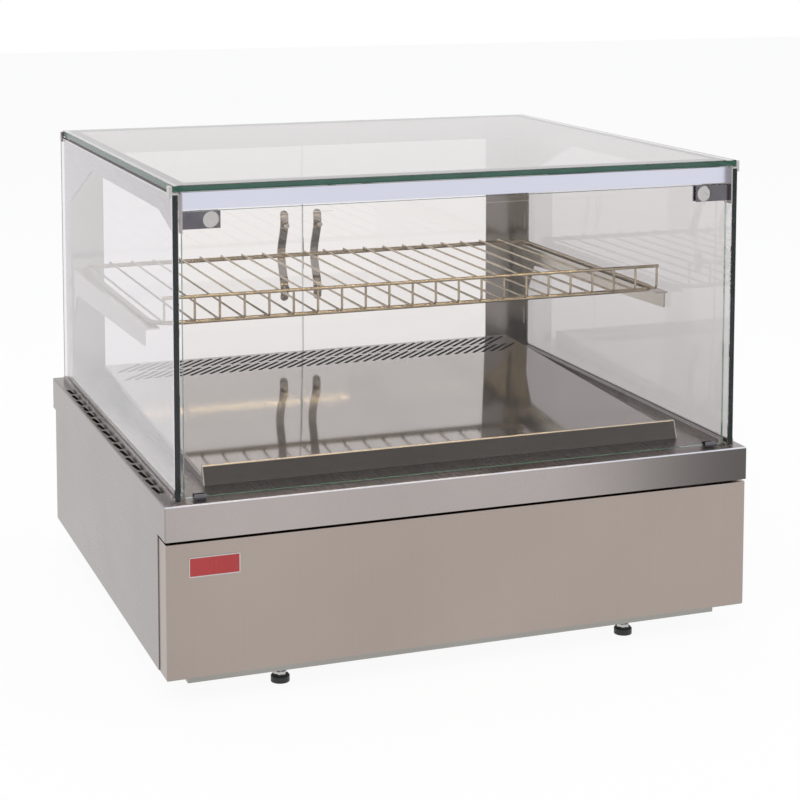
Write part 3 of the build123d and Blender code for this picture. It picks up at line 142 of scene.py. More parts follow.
class Graph:
    """The node tree of one material or of the world."""

    def __init__(self, owner: bpy.types.Material | bpy.types.World) -> None:
        """Start an empty tree on its owner.

        Args:
            owner: the material or world that holds the tree.
        """
        owner.use_nodes = True
        self.tree = owner.node_tree
        self.tree.nodes.clear()

    def add(self, kind: str, settings: dict | None = None, inputs: dict | None = None) -> bpy.types.Node:
        """Add a node, set it up and feed its sockets.

        Args:
            kind: the node's type.
            settings: its properties, set first; "stops" fills a colour ramp.
            inputs: socket name or number to a number, colour, value or output socket.

        Returns:
            The node.
        """
        node = self.tree.nodes.new(kind)
        for key, setting in (settings or {}).items():
            if key == "stops":
                self.fill_ramp(node, setting)
            else:
                setattr(node, key, setting)
        for key, given in (inputs or {}).items():
            socket = node.inputs[key]
            source = given.socket if isinstance(given, Value) else given
            if isinstance(source, bpy.types.NodeSocket):
                self.tree.links.new(source, socket)
            else:
                socket.default_value = source
        return node

    @staticmethod
    def fill_ramp(node: bpy.types.Node, stops: Sequence[tuple[float, Colour]]) -> None:
        """Set the stops of a colour ramp.

        Args:
            node: the ramp node.
            stops: place and colour of each stop, first to last.
        """
        elements = node.color_ramp.elements
        while len(elements) < len(stops):
            elements.new(0.5)
        for element, (place, colour) in zip(elements, stops):
            element.position = place
            element.color = (*colour, 1.0)

    def place(self, scale: Point, turn: Point = (0.0, 0.0, 0.0)) -> bpy.types.NodeSocket:
        """Object coordinates through a mapping.

        Args:
            scale: stretch of the pattern per metre.
            turn: rotation of the pattern in radians.

        Returns:
            The vector socket.
        """
        spot = self.add("ShaderNodeTexCoord")
        mapping = self.add("ShaderNodeMapping", None, {0: spot.outputs["Object"], "Rotation": turn, "Scale": scale})
        return mapping.outputs[0]

    def noise(self, scale: Point, detail: float, roughness: float = 0.5) -> Value:
        """Noise over the object.

        Args:
            scale: cells per metre along each direction.
            detail: number of octaves.
            roughness: weight of the finer octaves.

        Returns:
            The noise as a value from 0 to 1.
        """
        settings = {"Scale": 1.0, "Detail": detail, "Roughness": roughness, "Vector": self.place(scale)}
        return Value(self, self.add("ShaderNodeTexNoise", None, settings).outputs[0])

    def spot(self, direction: Direction) -> Value:
        """Place along one direction, in metres."""
        spot = self.add("ShaderNodeTexCoord")
        split = self.add("ShaderNodeSeparateXYZ", None, {0: spot.outputs["Object"]})
        return Value(self, split.outputs[direction.value])

    def rise(self, direction: Direction, start: float, end: float) -> Value:
        """A value that goes from 0 at one place to 1 at another and stays there.

        Args:
            direction: direction that it rises along.
            start: place of 0 in metres.
            end: place of 1 in metres.

        Returns:
            The value.
        """
        sockets = {"Value": self.spot(direction), "From Min": start, "From Max": end}
        node = self.add("ShaderNodeMapRange", {"clamp": True, "interpolation_type": "SMOOTHSTEP"}, sockets)
        return Value(self, node.outputs[0])

    def facing(self, direction: Direction) -> Value:
        """How far the surface faces along a direction, from 0 to 1."""
        spot = self.add("ShaderNodeTexCoord")
        split = self.add("ShaderNodeSeparateXYZ", None, {0: spot.outputs["Normal"]})
        return abs(Value(self, split.outputs[direction.value]))

    def tone(self, factor: Value, low: Colour | bpy.types.NodeSocket,
             high: Colour | bpy.types.NodeSocket) -> bpy.types.NodeSocket:
        """Blend two colours.

        Args:
            factor: 0 for the first colour, 1 for the second.
            low: first colour, plain or from a socket.
            high: second colour, plain or from a socket.

        Returns:
            The colour socket.
        """
        low, high = (given if isinstance(given, bpy.types.NodeSocket) else (*given, 1.0) for given in (low, high))
        return self.add("ShaderNodeMix", {"data_type": "RGBA"}, {0: factor, 6: low, 7: high}).outputs[2]

    def bump(self, height: Value, strength: float, distance: float) -> bpy.types.NodeSocket:
        """Turn a height into a normal.

        Args:
            height: the height, from 0 to 1.
            strength: share of the relief that shows.
            distance: its real height in metres.

        Returns:
            The normal socket.
        """
        sockets = {"Strength": strength, "Distance": distance, "Height": height}
        return self.add("ShaderNodeBump", None, sockets).outputs[0]

    def shader(self, inputs: dict) -> bpy.types.NodeSocket:
        """A Principled shader with these sockets."""
        return self.add("ShaderNodeBsdfPrincipled", None, inputs).outputs[0]

    def blend(
        self, factor: Value | float, first: bpy.types.NodeSocket, second: bpy.types.NodeSocket
    ) -> bpy.types.NodeSocket:
        """Mix two shaders."""
        return self.add("ShaderNodeMixShader", None, {0: factor, 1: first, 2: second}).outputs[0]

    def ray(self, name: str) -> Value:
        """One output of Light Path."""
        return Value(self, self.add("ShaderNodeLightPath").outputs[name])

    def close(self, surface: bpy.types.NodeSocket, kind: str = "ShaderNodeOutputMaterial") -> None:
        """Send the surface to the output."""
        self.add(kind, None, {"Surface": surface})


# Finishes


@dataclass(frozen=True)
class Finish:
    """A finish that can be laid on pieces.

    Attributes:
        name: the finish in plain words.
    """

    name: str

    def paint(self, graph: Graph) -> bpy.types.NodeSocket:
        """Build the surface shader. Each kind of finish has its own."""
        raise NotImplementedError

    def material(self) -> bpy.types.Material:
        """The finish as a material, made once.

        Returns:
            The material.
        """
        found = bpy.data.materials.get(self.name)
        if found is None:
            found = bpy.data.materials.new(self.name)
            graph = Graph(found)
            graph.close(self.paint(graph))
        return found


@dataclass(frozen=True)
class Steel(Finish):
    """Sheet metal with a directional grain.

    Attributes:
        dark: colour in the grain's hollows.
        light: colour on its ridges.
        roughness: middle roughness.
        grain: direction that the grain runs along.
        fine: lines per metre across the grain.
        relief: height of the grain in metres.
        cloud: share of slow change in tone over the sheet.
        sway: how much the roughness wanders.
        level: whether the sheet lies level, so that the coarse bands of its grain do not change with height.
        painted_end_shade: start and end across, and share of tone lost there by what faces the front, as painted shade.
        painted_top_shade: share of tone lost by what faces up, as painted shade.
        painted_side_shade: share of tone lost by what faces sideways, as painted shade.
        painted_edge_highlight: front and top of a bent edge, and width of the painted highlight along it.
    """

    dark: Colour
    light: Colour
    roughness: float
    grain: Direction
    fine: float = 2600.0
    relief: float = 0.00002
    cloud: float = 0.35
    sway: float = 0.15
    level: bool = False
    painted_end_shade: tuple[float, float, float] | None = None
    painted_top_shade: float = 0.0
    painted_side_shade: float = 0.0
    painted_edge_highlight: tuple[float, float, float] | None = None

    def paint(self, graph: Graph) -> bpy.types.NodeSocket:
        """Long fine noise along the grain over a slow change in tone, with painted shade and a painted highlight where
        they are set.

        Args:
            graph: the material's graph.

        Returns:
            The surface shader.
        """
        stretch = [self.fine] * 3
        stretch[self.grain.value] = 9.0
        lines = graph.noise(tuple(stretch), 3.0, 0.6)
        coarse = [self.fine / 9.0] * 3
        coarse[self.grain.value] = 2.2
        if self.level:
            stretch[Direction.UP.value] = coarse[Direction.UP.value] = 0.0
        bands = graph.noise(tuple(coarse), 2.0)
        slow = graph.noise((5.0, 5.0, 5.0), 2.0)
        tone = lines * (0.6 - self.cloud / 2) + bands * (0.4 - self.cloud / 2) + slow * self.cloud
        smudge = graph.noise((14.0, 14.0, 11.0), 4.0, 0.65)
        roughness = lines * (self.sway * 2 / 3) + smudge * (self.sway / 3) + (self.roughness - self.sway / 2)
        colour = graph.tone(tone, self.dark, self.light)
        # Painted shade: faces that point to the front darken towards the high end across, standing in for darker
        # surroundings in their reflection.
        if self.painted_end_shade:
            start, end, painted_shade_share = self.painted_end_shade
            dulled = graph.rise(Direction.ACROSS, start, end) * graph.facing(Direction.DEEP) * painted_shade_share
            colour = graph.tone(dulled, colour, (0.0, 0.0, 0.0))
        # Painted shade: faces that point up and faces that point sideways are darkened for how light falls on them.
        for direction, painted_shade_share in ((Direction.UP, self.painted_top_shade), (Direction.ACROSS, self.painted_side_shade)):
            if painted_shade_share:
                colour = graph.tone(graph.facing(direction) * painted_shade_share, colour, (0.0, 0.0, 0.0))
        # Painted highlight: a pale bluish line along the bent front top edge stands in for the reflection on its curve.
        if self.painted_edge_highlight:
            front, top, width = self.painted_edge_highlight
            near = (graph.spot(Direction.DEEP) - front).most(top - graph.spot(Direction.UP)).below(width)
            colour = graph.tone(near, colour, (0.74, 0.75, 0.82))
        return graph.shader({
            "Base Color": colour,
            "Metallic": 1.0,
            "Roughness": roughness,
            "Normal": graph.bump(lines, 0.35, self.relief),
        })


@dataclass(frozen=True)
class Bright(Finish):
    """Plated or polished metal with faint wear.

    Attributes:
        colour: the metal's colour.
        roughness: middle roughness.
        worn: colour where it has dulled.
    """

    colour: Colour
    roughness: float
    worn: Colour

    def paint(self, graph: Graph) -> bpy.types.NodeSocket:
        """Cloudy wear over a mirror-like metal.

        Args:
            graph: the material's graph.

        Returns:
            The surface shader.
        """
        cloud = graph.noise((60.0, 60.0, 60.0), 4.0, 0.6)
        return graph.shader({
            "Base Color": graph.tone(cloud, self.colour, self.worn),
            "Metallic": 1.0,
            "Roughness": cloud * 0.08 + (self.roughness - 0.04),
        })


@dataclass(frozen=True)
class Moulded(Finish):
    """Plastic, rubber, foam or paint with a little grain.

    Attributes:
        colour: main colour.
        roughness: middle roughness.
        coat: weight of a clear coat.
        relief: height of its grain in metres.
    """

    colour: Colour
    roughness: float
    coat: float = 0.0
    relief: float = 0.00003

    def paint(self, graph: Graph) -> bpy.types.NodeSocket:
        """Fine pebbled grain with a slight change in tone.

        Args:
            graph: the material's graph.

        Returns:
            The surface shader.
        """
        pebble = graph.noise((900.0, 900.0, 900.0), 2.0)
        cloud = graph.noise((25.0, 25.0, 25.0), 3.0)
        lighter = tuple(min(1.0, part * 1.18 + 0.004) for part in self.colour)
        return graph.shader({
            "Base Color": graph.tone(cloud, self.colour, lighter),
            "Roughness": cloud * 0.10 + (self.roughness - 0.05),
            "Coat Weight": self.coat,
            "Coat Roughness": 0.06,
            "Normal": graph.bump(pebble, 0.3, self.relief),
        })


@dataclass(frozen=True)
class Glass(Finish):
    """Float glass whose cut edges look green.

    Attributes:
        tint: colour of the clear faces at the pane's foot.
        tint_high: their colour at its top.
        edge: colour of the cut edges.
        across: direction of the pane's thickness.
        depth: share of the edge that is solid colour.
        lets_light: share of light that passes straight through for shadows and reflections.
        mirrors: whether reflections seen elsewhere show what this pane reflects.
        ior: refractive index, lower where the pane mirrors less.
    """

    tint: Colour
    tint_high: Colour
    edge: Colour
    across: Direction
    depth: float = 0.95
    lets_light: float = 0.9
    mirrors: bool = False
    ior: float = 1.5

    def paint(self, graph: Graph) -> bpy.types.NodeSocket:
        """Clear faces, green edges, and pale shadows.

        Args:
            graph: the material's graph.

        Returns:
            The surface shader.
        """
        tint = graph.tone(graph.rise(Direction.UP, 0.25, 0.58), self.tint, self.tint_high)
        clear = graph.shader({
            "Base Color": tint,
            "Roughness": 0.0,
            "IOR": self.ior,
            "Transmission Weight": 1.0,
        })
        ripple = graph.noise((40.0, 40.0, 40.0), 2.0)
        deeper = tuple(part * 0.6 for part in self.edge)
        cut = graph.shader({
            "Base Color": graph.tone(ripple, self.edge, deeper),
            "Roughness": 0.15,
            "Specular IOR Level": 0.3,
        })
        on_edge = graph.facing(self.across).below(0.5)
        pane = graph.blend(on_edge * self.depth, clear, cut)
        passing = graph.add("ShaderNodeBsdfTransparent", None, {0: (*self.tint_high, 1.0)}).outputs[0]
        light_rays = graph.ray("Is Shadow Ray").most(graph.ray("Is Diffuse Ray"))
        if not self.mirrors:
            light_rays = light_rays.most(graph.ray("Is Glossy Ray") * (1.0 - graph.ray("Is Transmission Ray")))
        return graph.blend(light_rays * self.lets_light, pane, passing)


@dataclass(frozen=True)
class Split(Finish):
    """Two finishes on one piece, parted at a place.

    Attributes:
        along: direction that the parting is measured along.
        limit: place of the parting in metres.
        below: finish on the low side.
        above: finish on the high side.
    """

    along: Direction
    limit: float
    below: Finish
    above: Finish

    def paint(self, graph: Graph) -> bpy.types.NodeSocket:
        """Both finishes, with a clean line between them.

        Args:
            graph: the material's graph.

        Returns:
            The surface shader.
        """
        return graph.blend(graph.spot(self.along).below(self.limit), self.above.paint(graph), self.below.paint(graph))


@dataclass(frozen=True)
class Rimmed(Finish):
    """Enamel inside a bare metal rim.

    Attributes:
        centre: middle of the plate across and up, in metres.
        half: half its width and height.
        rim: width of the rim.
        inner: finish of the middle.
        outer: finish of the rim.
    """

    centre: tuple[float, float]
    half: tuple[float, float]
    rim: float
    inner: Finish
    outer: Finish

    def paint(self, graph: Graph) -> bpy.types.NodeSocket:
        """The rim shows where the plate's edge is near.

        Args:
            graph: the material's graph.

        Returns:
            The surface shader.
        """
        across = abs(graph.spot(Direction.ACROSS) - self.centre[0]) - self.half[0]
        up = abs(graph.spot(Direction.UP) - self.centre[1]) - self.half[1]
        within = across.most(up).below(-self.rim)
        return graph.blend(within, self.outer.paint(graph), self.inner.paint(graph))


@dataclass(frozen=True)
class Glow(Finish):
    """A lit diffuser or lamp.

    Attributes:
        colour: colour of the light.
        strength: its strength.
    """

    colour: Colour
    strength: float

    def paint(self, graph: Graph) -> bpy.types.NodeSocket:
        """A milky skin that shines.

        Args:
            graph: the material's graph.

        Returns:
            The surface shader.
        """
        cloud = graph.noise((30.0, 30.0, 30.0), 2.0)
        dimmer = tuple(part * 0.92 for part in self.colour)
        return graph.shader({
            "Base Color": (0.8, 0.8, 0.78, 1.0),
            "Roughness": 0.4,
            "Emission Color": graph.tone(cloud, self.colour, dimmer),
            "Emission Strength": self.strength,
        })


class Finishes:
    """Every finish on the display, by what it is on."""

    # The shell carries painted shade on its front, top and side faces, and a painted highlight along its front top
    # edge.
    shell = Steel("brushed shell steel", (0.35, 0.315, 0.305), (0.50, 0.455, 0.44), 0.28, Direction.DEEP,
                  cloud=0.5, painted_end_shade=(0.08, 0.385, 0.72), painted_top_shade=0.38, painted_side_shade=0.26)
    apron = Steel("brushed cover steel", (0.345, 0.29, 0.26), (0.445, 0.382, 0.345), 0.30, Direction.UP,
                  relief=0.00001, cloud=0.6)
    hidden = Steel("mill steel", (0.28, 0.27, 0.25), (0.42, 0.405, 0.385), 0.38, Direction.ACROSS, cloud=0.6)
    service = Steel("brushed service steel", (0.38, 0.36, 0.34), (0.56, 0.54, 0.52), 0.32, Direction.ACROSS)
    # Painted shade: the well steel is made dark so that the recess under the deck slots looks shaded.
    well = Steel("well steel", (0.10, 0.10, 0.095), (0.20, 0.195, 0.18), 0.30, Direction.ACROSS)
    deck = Steel("polished deck steel", (0.385, 0.362, 0.35), (0.46, 0.436, 0.424), 0.05, Direction.DEEP, 1400.0,
                 0.0000004, 0.8, 0.03, True)
    # Painted reflection: the polished lip face is near black for the dark reflection it shows, while its folded ends
    # keep bright steel.
    lip = Steel("polished lip steel", (0.035, 0.031, 0.028), (0.085, 0.076, 0.068), 0.14, Direction.ACROSS, 1400.0,
                0.0, 0.6)
    # Painted highlight: the warm bright band on the lip's top stands in for a warm reflection on its bend.
    lip_highlight = Bright("painted lip edge highlight", (0.86, 0.76, 0.60), 0.16, (0.66, 0.57, 0.44))
    frame_steel = Steel("satin frame steel", (0.34, 0.32, 0.31), (0.47, 0.445, 0.435), 0.28, Direction.DEEP)
    post_steel = Steel("satin post steel", (0.36, 0.345, 0.32), (0.45, 0.435, 0.41), 0.22, Direction.UP, cloud=0.6)
    bracket = Steel("satin bracket steel", (0.42, 0.40, 0.36), (0.62, 0.59, 0.54), 0.24, Direction.DEEP)
    beam = Steel("anodised beam", (0.64, 0.65, 0.76), (0.74, 0.75, 0.86), 0.30, Direction.ACROSS, cloud=0.7)
    chrome = Bright("bright chrome", (0.58, 0.57, 0.56), 0.10, (0.44, 0.43, 0.42))
    smoky = Bright("smoky chrome", (0.10, 0.095, 0.11), 0.12, (0.19, 0.18, 0.20))
    wire = Bright("bright shelf wire", (0.66, 0.58, 0.45), 0.12, (0.20, 0.165, 0.115))
    handle = Bright("polished handle", (0.66, 0.64, 0.60), 0.10, (0.24, 0.225, 0.20))
    copper = Bright("copper pipe", (0.72, 0.38, 0.24), 0.30, (0.42, 0.22, 0.14))
    fins = Steel("fin aluminium", (0.52, 0.52, 0.52), (0.70, 0.70, 0.70), 0.36, Direction.UP, cloud=0.6)
    red = Moulded("red enamel", (0.36, 0.010, 0.012), 0.28, 0.4)
    black = Moulded("black plastic", (0.020, 0.020, 0.022), 0.42)
    rubber = Moulded("black rubber", (0.022, 0.022, 0.022), 0.75)
    pot = Moulded("black pot paint", (0.016, 0.016, 0.018), 0.26, 0.5)
    foam = Moulded("foam", (0.62, 0.54, 0.36), 0.85, 0.0, 0.0004)
    tape = Moulded("pane tape", (0.24, 0.25, 0.25), 0.7)
    key = Moulded("key grey", (0.11, 0.11, 0.12), 0.5)
    green = Moulded("green rocker", (0.03, 0.26, 0.08), 0.25, 0.5)
    window = Moulded("dark window", (0.045, 0.004, 0.006), 0.10, 1.0)
    light = Glow("warm strip light", (1.0, 0.74, 0.30), 15.0)
    lamp = Glow("small lamp", (0.25, 1.0, 0.35), 1.5)
    left_glass = Glass("left side glass", (0.82, 0.80, 0.82), (0.87, 0.85, 0.875), (0.006, 0.014, 0.013),
                       Direction.ACROSS, 0.98)
    # Painted shade: the right pane's tint is darker than the left pane's, standing in for the dark reflection it shows.
    shaded_right_glass = Glass("right side glass", (0.59, 0.575, 0.58), (0.74, 0.72, 0.73), (0.006, 0.014, 0.013),
                        Direction.ACROSS, 0.98)
    # Painted shade: the top pane's tint is darkened to the dim look of what shows through it from above.
    top_glass = Glass("top glass", (0.67, 0.645, 0.645), (0.69, 0.655, 0.655), (0.026, 0.105, 0.072), Direction.UP)
    front_glass = Glass("front glass", (0.93, 0.915, 0.905), (0.95, 0.93, 0.92), (0.16, 0.36, 0.27),
                        Direction.DEEP, 0.7, ior=1.3)
    door_glass = Glass("door glass", (0.90, 0.885, 0.88), (0.94, 0.925, 0.92), (0.10, 0.24, 0.19), Direction.DEEP,
                       mirrors=True)


# Hand tools


def deselect_all() -> None:
    """Leave edit mode and select nothing."""
    if bpy.context.object and bpy.context.object.mode != "OBJECT":
        bpy.ops.object.mode_set(mode="OBJECT")
    bpy.ops.object.select_all(action="DESELECT")


def named(name: str) -> bpy.types.Object:
    """Name the active piece and put its place into its mesh.

    Args:
        name: the piece's name.

    Returns:
        The piece.
    """
    piece = bpy.context.object
    piece.name = name
    piece.data.name = name
    bpy.ops.object.transform_apply(location=True, rotation=True, scale=True)
    return piece


def cube(name: str, low: Sequence[float], high: Sequence[float]) -> bpy.types.Object:
    """Add a box between two corners.

    Args:
        name: the piece's name.
        low: its lowest corner.
        high: its highest corner.

    Returns:
        The piece.
    """
    deselect_all()
    middle = [(a + b) / 2 for a, b in zip(low, high)]
    bpy.ops.mesh.primitive_cube_add(size=1.0, location=middle, scale=[b - a for a, b in zip(low, high)])
    return named(name)


TURN_TO = {
    Direction.ACROSS: (0.0, math.pi / 2, 0.0),
    Direction.DEEP: (math.pi / 2, 0.0, 0.0),
    Direction.UP: (0.0, 0.0, 0.0),
}


def disc(
    name: str, middle: Sequence[float], radius: float, depth: float, along: Direction, sides: int = 32
) -> bpy.types.Object:
    """Add a cylinder.

    Args:
        name: the piece's name.
        middle: its middle.
        radius: its radius.
        depth: its length.
        along: direction of its axis.
        sides: number of its sides.

    Returns:
        The piece.
    """
    deselect_all()
    bpy.ops.mesh.primitive_cylinder_add(vertices=sides, radius=radius, depth=depth, location=middle,
                                        rotation=TURN_TO[along])
    return named(name)


def ring(name: str, middle: Sequence[float], radius: float, wire: float, along: Direction) -> bpy.types.Object:
    """Add a wire ring.

    Args:
        name: the piece's name.
        middle: its middle.
        radius: radius of the ring.
        wire: radius of its wire.
        along: direction of its axis.

    Returns:
        The piece.
    """
    deselect_all()
    bpy.ops.mesh.primitive_torus_add(location=middle, rotation=TURN_TO[along], major_radius=radius,
                                     minor_radius=wire, major_segments=48, minor_segments=8)
    return named(name)


def pick(piece: bpy.types.Object, part: Part, test: Callable[[Vector, Vector], bool]) -> None:
    """Enter edit mode with the faces or edges that pass a test selected.

    Args:
        piece: the piece to edit.
        part: whether faces or edges are tested.
        test: gets the middle, and the normal of a face or the run of an edge.
    """
    deselect_all()
    bpy.context.view_layer.objects.active = piece
    piece.select_set(True)
    bpy.ops.object.mode_set(mode="EDIT")
    bpy.ops.mesh.select_mode(type=part.value)
    bpy.ops.mesh.select_all(action="DESELECT")
    bpy.ops.object.mode_set(mode="OBJECT")
    mesh = piece.data
    if part is Part.FACE:
        for face in mesh.polygons:
            face.select = test(face.center, face.normal)
    else:
        for edge in mesh.edges:
            first, second = (mesh.vertices[index].co for index in edge.vertices)
            edge.select = test((first + second) / 2, (second - first).normalized())
    bpy.ops.object.mode_set(mode="EDIT")


def round_edges(piece: bpy.types.Object, width: float, segments: int, test: Callable[[Vector, Vector], bool]) -> None:
    """Bevel the edges that pass a test.

    Args:
        piece: the piece to edit.
        width: width of the bevel.
        segments: number of its steps.
        test: gets an edge's middle and run.
    """
    pick(piece, Part.EDGE, test)
    bpy.ops.mesh.bevel(offset=width, segments=segments, affect="EDGES")
    bpy.ops.object.mode_set(mode="OBJECT")


def smooth(piece: bpy.types.Object, angle: float = 35.0) -> bpy.types.Object:
    """Shade smooth up to an angle.

    Args:
        piece: the piece.
        angle: the sharpest smooth angle in degrees.

    Returns:
        The same piece.
    """
    deselect_all()
    bpy.context.view_layer.objects.active = piece
    piece.select_set(True)
    bpy.ops.object.shade_smooth_by_angle(angle=math.radians(angle))
    return piece


def carve(piece: bpy.types.Object, cutter: bpy.types.Object) -> None:
    """Cut one piece with another, which is used up.

    Args:
        piece: the piece that is cut.
        cutter: the shape that is taken away.
    """
    deselect_all()
    bpy.context.view_layer.objects.active = piece
    piece.select_set(True)
    cut = piece.modifiers.new("cut", "BOOLEAN")
    cut.operation = "DIFFERENCE"
    cut.object = cutter
    bpy.ops.object.modifier_apply(modifier=cut.name)
    bpy.data.objects.remove(cutter)


def merge(name: str, pieces: Iterable[bpy.types.Object]) -> bpy.types.Object:
    """Join pieces into one.

    Args:
        name: the name of the joined piece.
        pieces: what is joined.

    Returns:
        The joined piece.
    """
    group = list(pieces)
    deselect_all()
    for piece in group:
        piece.select_set(True)
    bpy.context.view_layer.objects.active = group[0]
    if len(group) > 1:
        bpy.ops.object.join()
    return named(name)


def copies(piece: bpy.types.Object, name: str, shifts: Iterable[Sequence[float]]) -> bpy.types.Object:
    """Copy a piece to several places and join the copies. The pattern piece is used up.

    Args:
        piece: the pattern piece.
        name: the name of the joined piece.
        shifts: how far each copy is moved.

    Returns:
        The joined piece.
    """
    made = []
    for shift in shifts:
        twin = piece.copy()
        twin.data = piece.data.copy()
        bpy.context.collection.objects.link(twin)
        twin.location = shift
        made.append(twin)
    bpy.data.objects.remove(piece)
    return merge(name, made)


def dress(piece: bpy.types.Object, finish: Finish) -> None:
    """Lay a finish on all of a piece.

    Args:
        piece: a modelled piece or a node of the part.
        finish: the finish.
    """
    if not piece.material_slots:
        piece.data.materials.append(finish.material())
    for place in piece.material_slots:
        place.material = finish.material()


def dress_nodes(finish: Finish, *names: str) -> None:
    """Lay a finish on nodes of the part.

    Args:
        finish: the finish.
        names: the nodes.
    """
    for name in names:
        dress(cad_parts[name], finish)


@dataclass
class SubAssembly:
    """A group of pieces that belong together."""

    def settle(self, piece: bpy.types.Object, finish: Finish, body: str, slot: str) -> bpy.types.Object:
        """Dress a finished piece, let it ride and report it.

        Args:
            piece: the piece.
            finish: its finish.
            body: the body that carries it.
            slot: not used.

        Returns:
            The piece.
        """
        dress(piece, finish)
        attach(piece, body)
        log.info("%s: %s on %s", type(self).__name__, piece.name, body)
        return piece

    def build(self) -> None:
        """Model and dress the group. Each group has its own."""
        raise NotImplementedError


@dataclass
class GlassCase(SubAssembly):
    """Panes, their frames and the light.

    Attributes:
        arris: width of the ground corner of a pane.
        dome_height: height of a hinge screw's domed head.
    """

    arris: float = 0.7 * MM
    dome_height: float = 4.3 * MM

    def pane(self, node: str, name: str, finish: Finish, body: str, slot: str) -> None:
        """Model a pane with ground corners in place of its plain node.

        Args:
            node: the node that it stands for.
            name: the pane's name.
            finish: its glass.
            body: the body that carries it.
            slot: passed on to settle.
        """
        low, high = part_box(node)
        glass = cube(name, low, high)
        round_edges(glass, self.arris, 1, lambda middle, run: True)
        self.settle(glass, finish, body, slot)
        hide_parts(node)

    def build(self) -> None:
        """Lay the panes and dress what holds them."""
        self.pane("side_glass_left", "left_pane", Finishes.left_glass, "base", "side_glass")
        self.pane("side_glass_right", "right_pane", Finishes.shaded_right_glass, "base", "side_glass")
        self.pane("top_glass", "top_pane", Finishes.top_glass, "base", "top_glass")
        self.pane("rear_door_left", "left_door_pane", Finishes.door_glass, "left_door", "door_glass")
        self.pane("rear_door_right", "right_door_pane", Finishes.door_glass, "right_door", "door_glass")
        dress_nodes(Finishes.front_glass, "front_glass")
        low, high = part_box("hinge_plates")
        hinge = Split("hinge chrome", Direction.DEEP, low.y + self.dome_height, Finishes.chrome, Finishes.smoky)
        dress_nodes(hinge, "hinge_plates")
        dress_nodes(Finishes.smoky, "glass_edge_caps")
        dress_nodes(Finishes.chrome, "corner_clips")
        dress_nodes(Finishes.beam, "front_beam", "led_profile", "door_stile_left", "door_stile_right")
        dress_nodes(Finishes.frame_steel, "side_frame_left", "side_frame_right", "glass_channels",
                    "door_pivot_blocks", "rear_header")
        dress_nodes(Finishes.post_steel, "rear_post_left", "rear_post_right")
        dress_nodes(Finishes.handle, "door_handle_left", "door_handle_right")
        dress_nodes(Finishes.tape, "glass_seal")
        dress_nodes(Finishes.light, "led_diffuser")


@dataclass
class ShelfAndDeck(SubAssembly):
    """The wire shelf with its welds, its brackets, and the deck.

    Attributes:
        weld_radius: radius of a weld bead.
        wires: number of cross wires.
        span: from the first to the last of them.
        ring_wire: radius of the ring's wire.
        rail_to_ring: from the front of the gallery rail to the ring.
        ring_to_rail: from the rear rail to the ring.
        ring_to_tips: from the ring to the rear tips of the cross wires.
        end_sheet: thickness of a folded end of the lip.
        lip_lean: how far the lip's front face leans back from foot to top.
        lip_highlight_height: height of the band along its top that carries a painted highlight.
    """

    weld_radius: float = 2.6 * MM
    wires: int = 22
    span: float = 670 * MM
    ring_wire: float = 2.75 * MM
    rail_to_ring: float = 19.2 * MM
    ring_to_rail: float = 9 * MM
    ring_to_tips: float = 4 * MM
    end_sheet: float = 1.2 * MM
    lip_lean: float = 8 * MM
    lip_highlight_height: float = 1.3 * MM

    def welds(self) -> bpy.types.Object:
        """Model one flat bead and copy it to where each cross wire crosses the ring and the rear rail.

        Returns:
            The beads as one piece.
        """
        low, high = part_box("wire_shelf")
        ring_front = low.y + self.rail_to_ring
        ring_rear = high.y - self.ring_to_tips
        deselect_all()
        bpy.ops.mesh.primitive_uv_sphere_add(segments=12, ring_count=8, radius=self.weld_radius,
                                             location=(-self.span / 2, ring_front, low.z + self.ring_wire * 1.8))
        bead = named("weld_bead")
        pick(bead, Part.FACE, lambda middle, normal: True)
        bpy.ops.transform.resize(value=(1.0, 1.0, 0.8))
        bpy.ops.object.mode_set(mode="OBJECT")
        pitch = self.span / (self.wires - 1)
        backs = (0.0, ring_rear - self.ring_to_rail - ring_front, ring_rear - ring_front)
        shifts = [(index * pitch, back, 0.0) for index in range(self.wires) for back in backs]
        return smooth(copies(bead, "wire_welds", shifts), 80.0)

    def lip_ends(self) -> bpy.types.Object:
        """Model the folded end of the deck's lip and set one on each side.

        Returns:
            The ends as one piece.
        """
        low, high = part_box("deck_lip")
        end = cube("lip_end", (high.x, low.y, low.z), (high.x + self.end_sheet, high.y, high.z))
        pick(end, Part.EDGE, lambda middle, run: abs(run.x) > 0.9 and middle.z > high.z - 0.1 * MM
             and middle.y < low.y + 0.1 * MM)
        bpy.ops.transform.translate(value=(0.0, self.lip_lean, 0.0))
        bpy.ops.object.mode_set(mode="OBJECT")
        round_edges(end, 1.6 * MM, 4, lambda middle, run: abs(run.x) > 0.9 and middle.z > high.z - 0.1 * MM)
        return smooth(copies(end, "lip_ends", [(0.0, 0.0, 0.0), (low.x - high.x - self.end_sheet, 0.0, 0.0)]))

    def build(self) -> None:
        """Dress the shelf and deck and add the weld beads and lip ends."""
        dress_nodes(Finishes.wire, "wire_shelf")
        self.settle(self.welds(), Finishes.wire, "shelf", "shelf_wire")
        dress_nodes(Finishes.bracket, "shelf_bracket_left", "shelf_bracket_right")
        dress_nodes(Finishes.deck, "deck")
        low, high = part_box("deck_lip")
        # Painted highlight on the lip's top band, over the dark lip steel.
        lip = Split("lip with painted edge highlight", Direction.UP, high.z - self.lip_highlight_height, Finishes.lip, Finishes.lip_highlight)
        dress_nodes(lip, "deck_lip")
        self.settle(self.lip_ends(), Finishes.bracket, "deck_tray", "lip_steel")


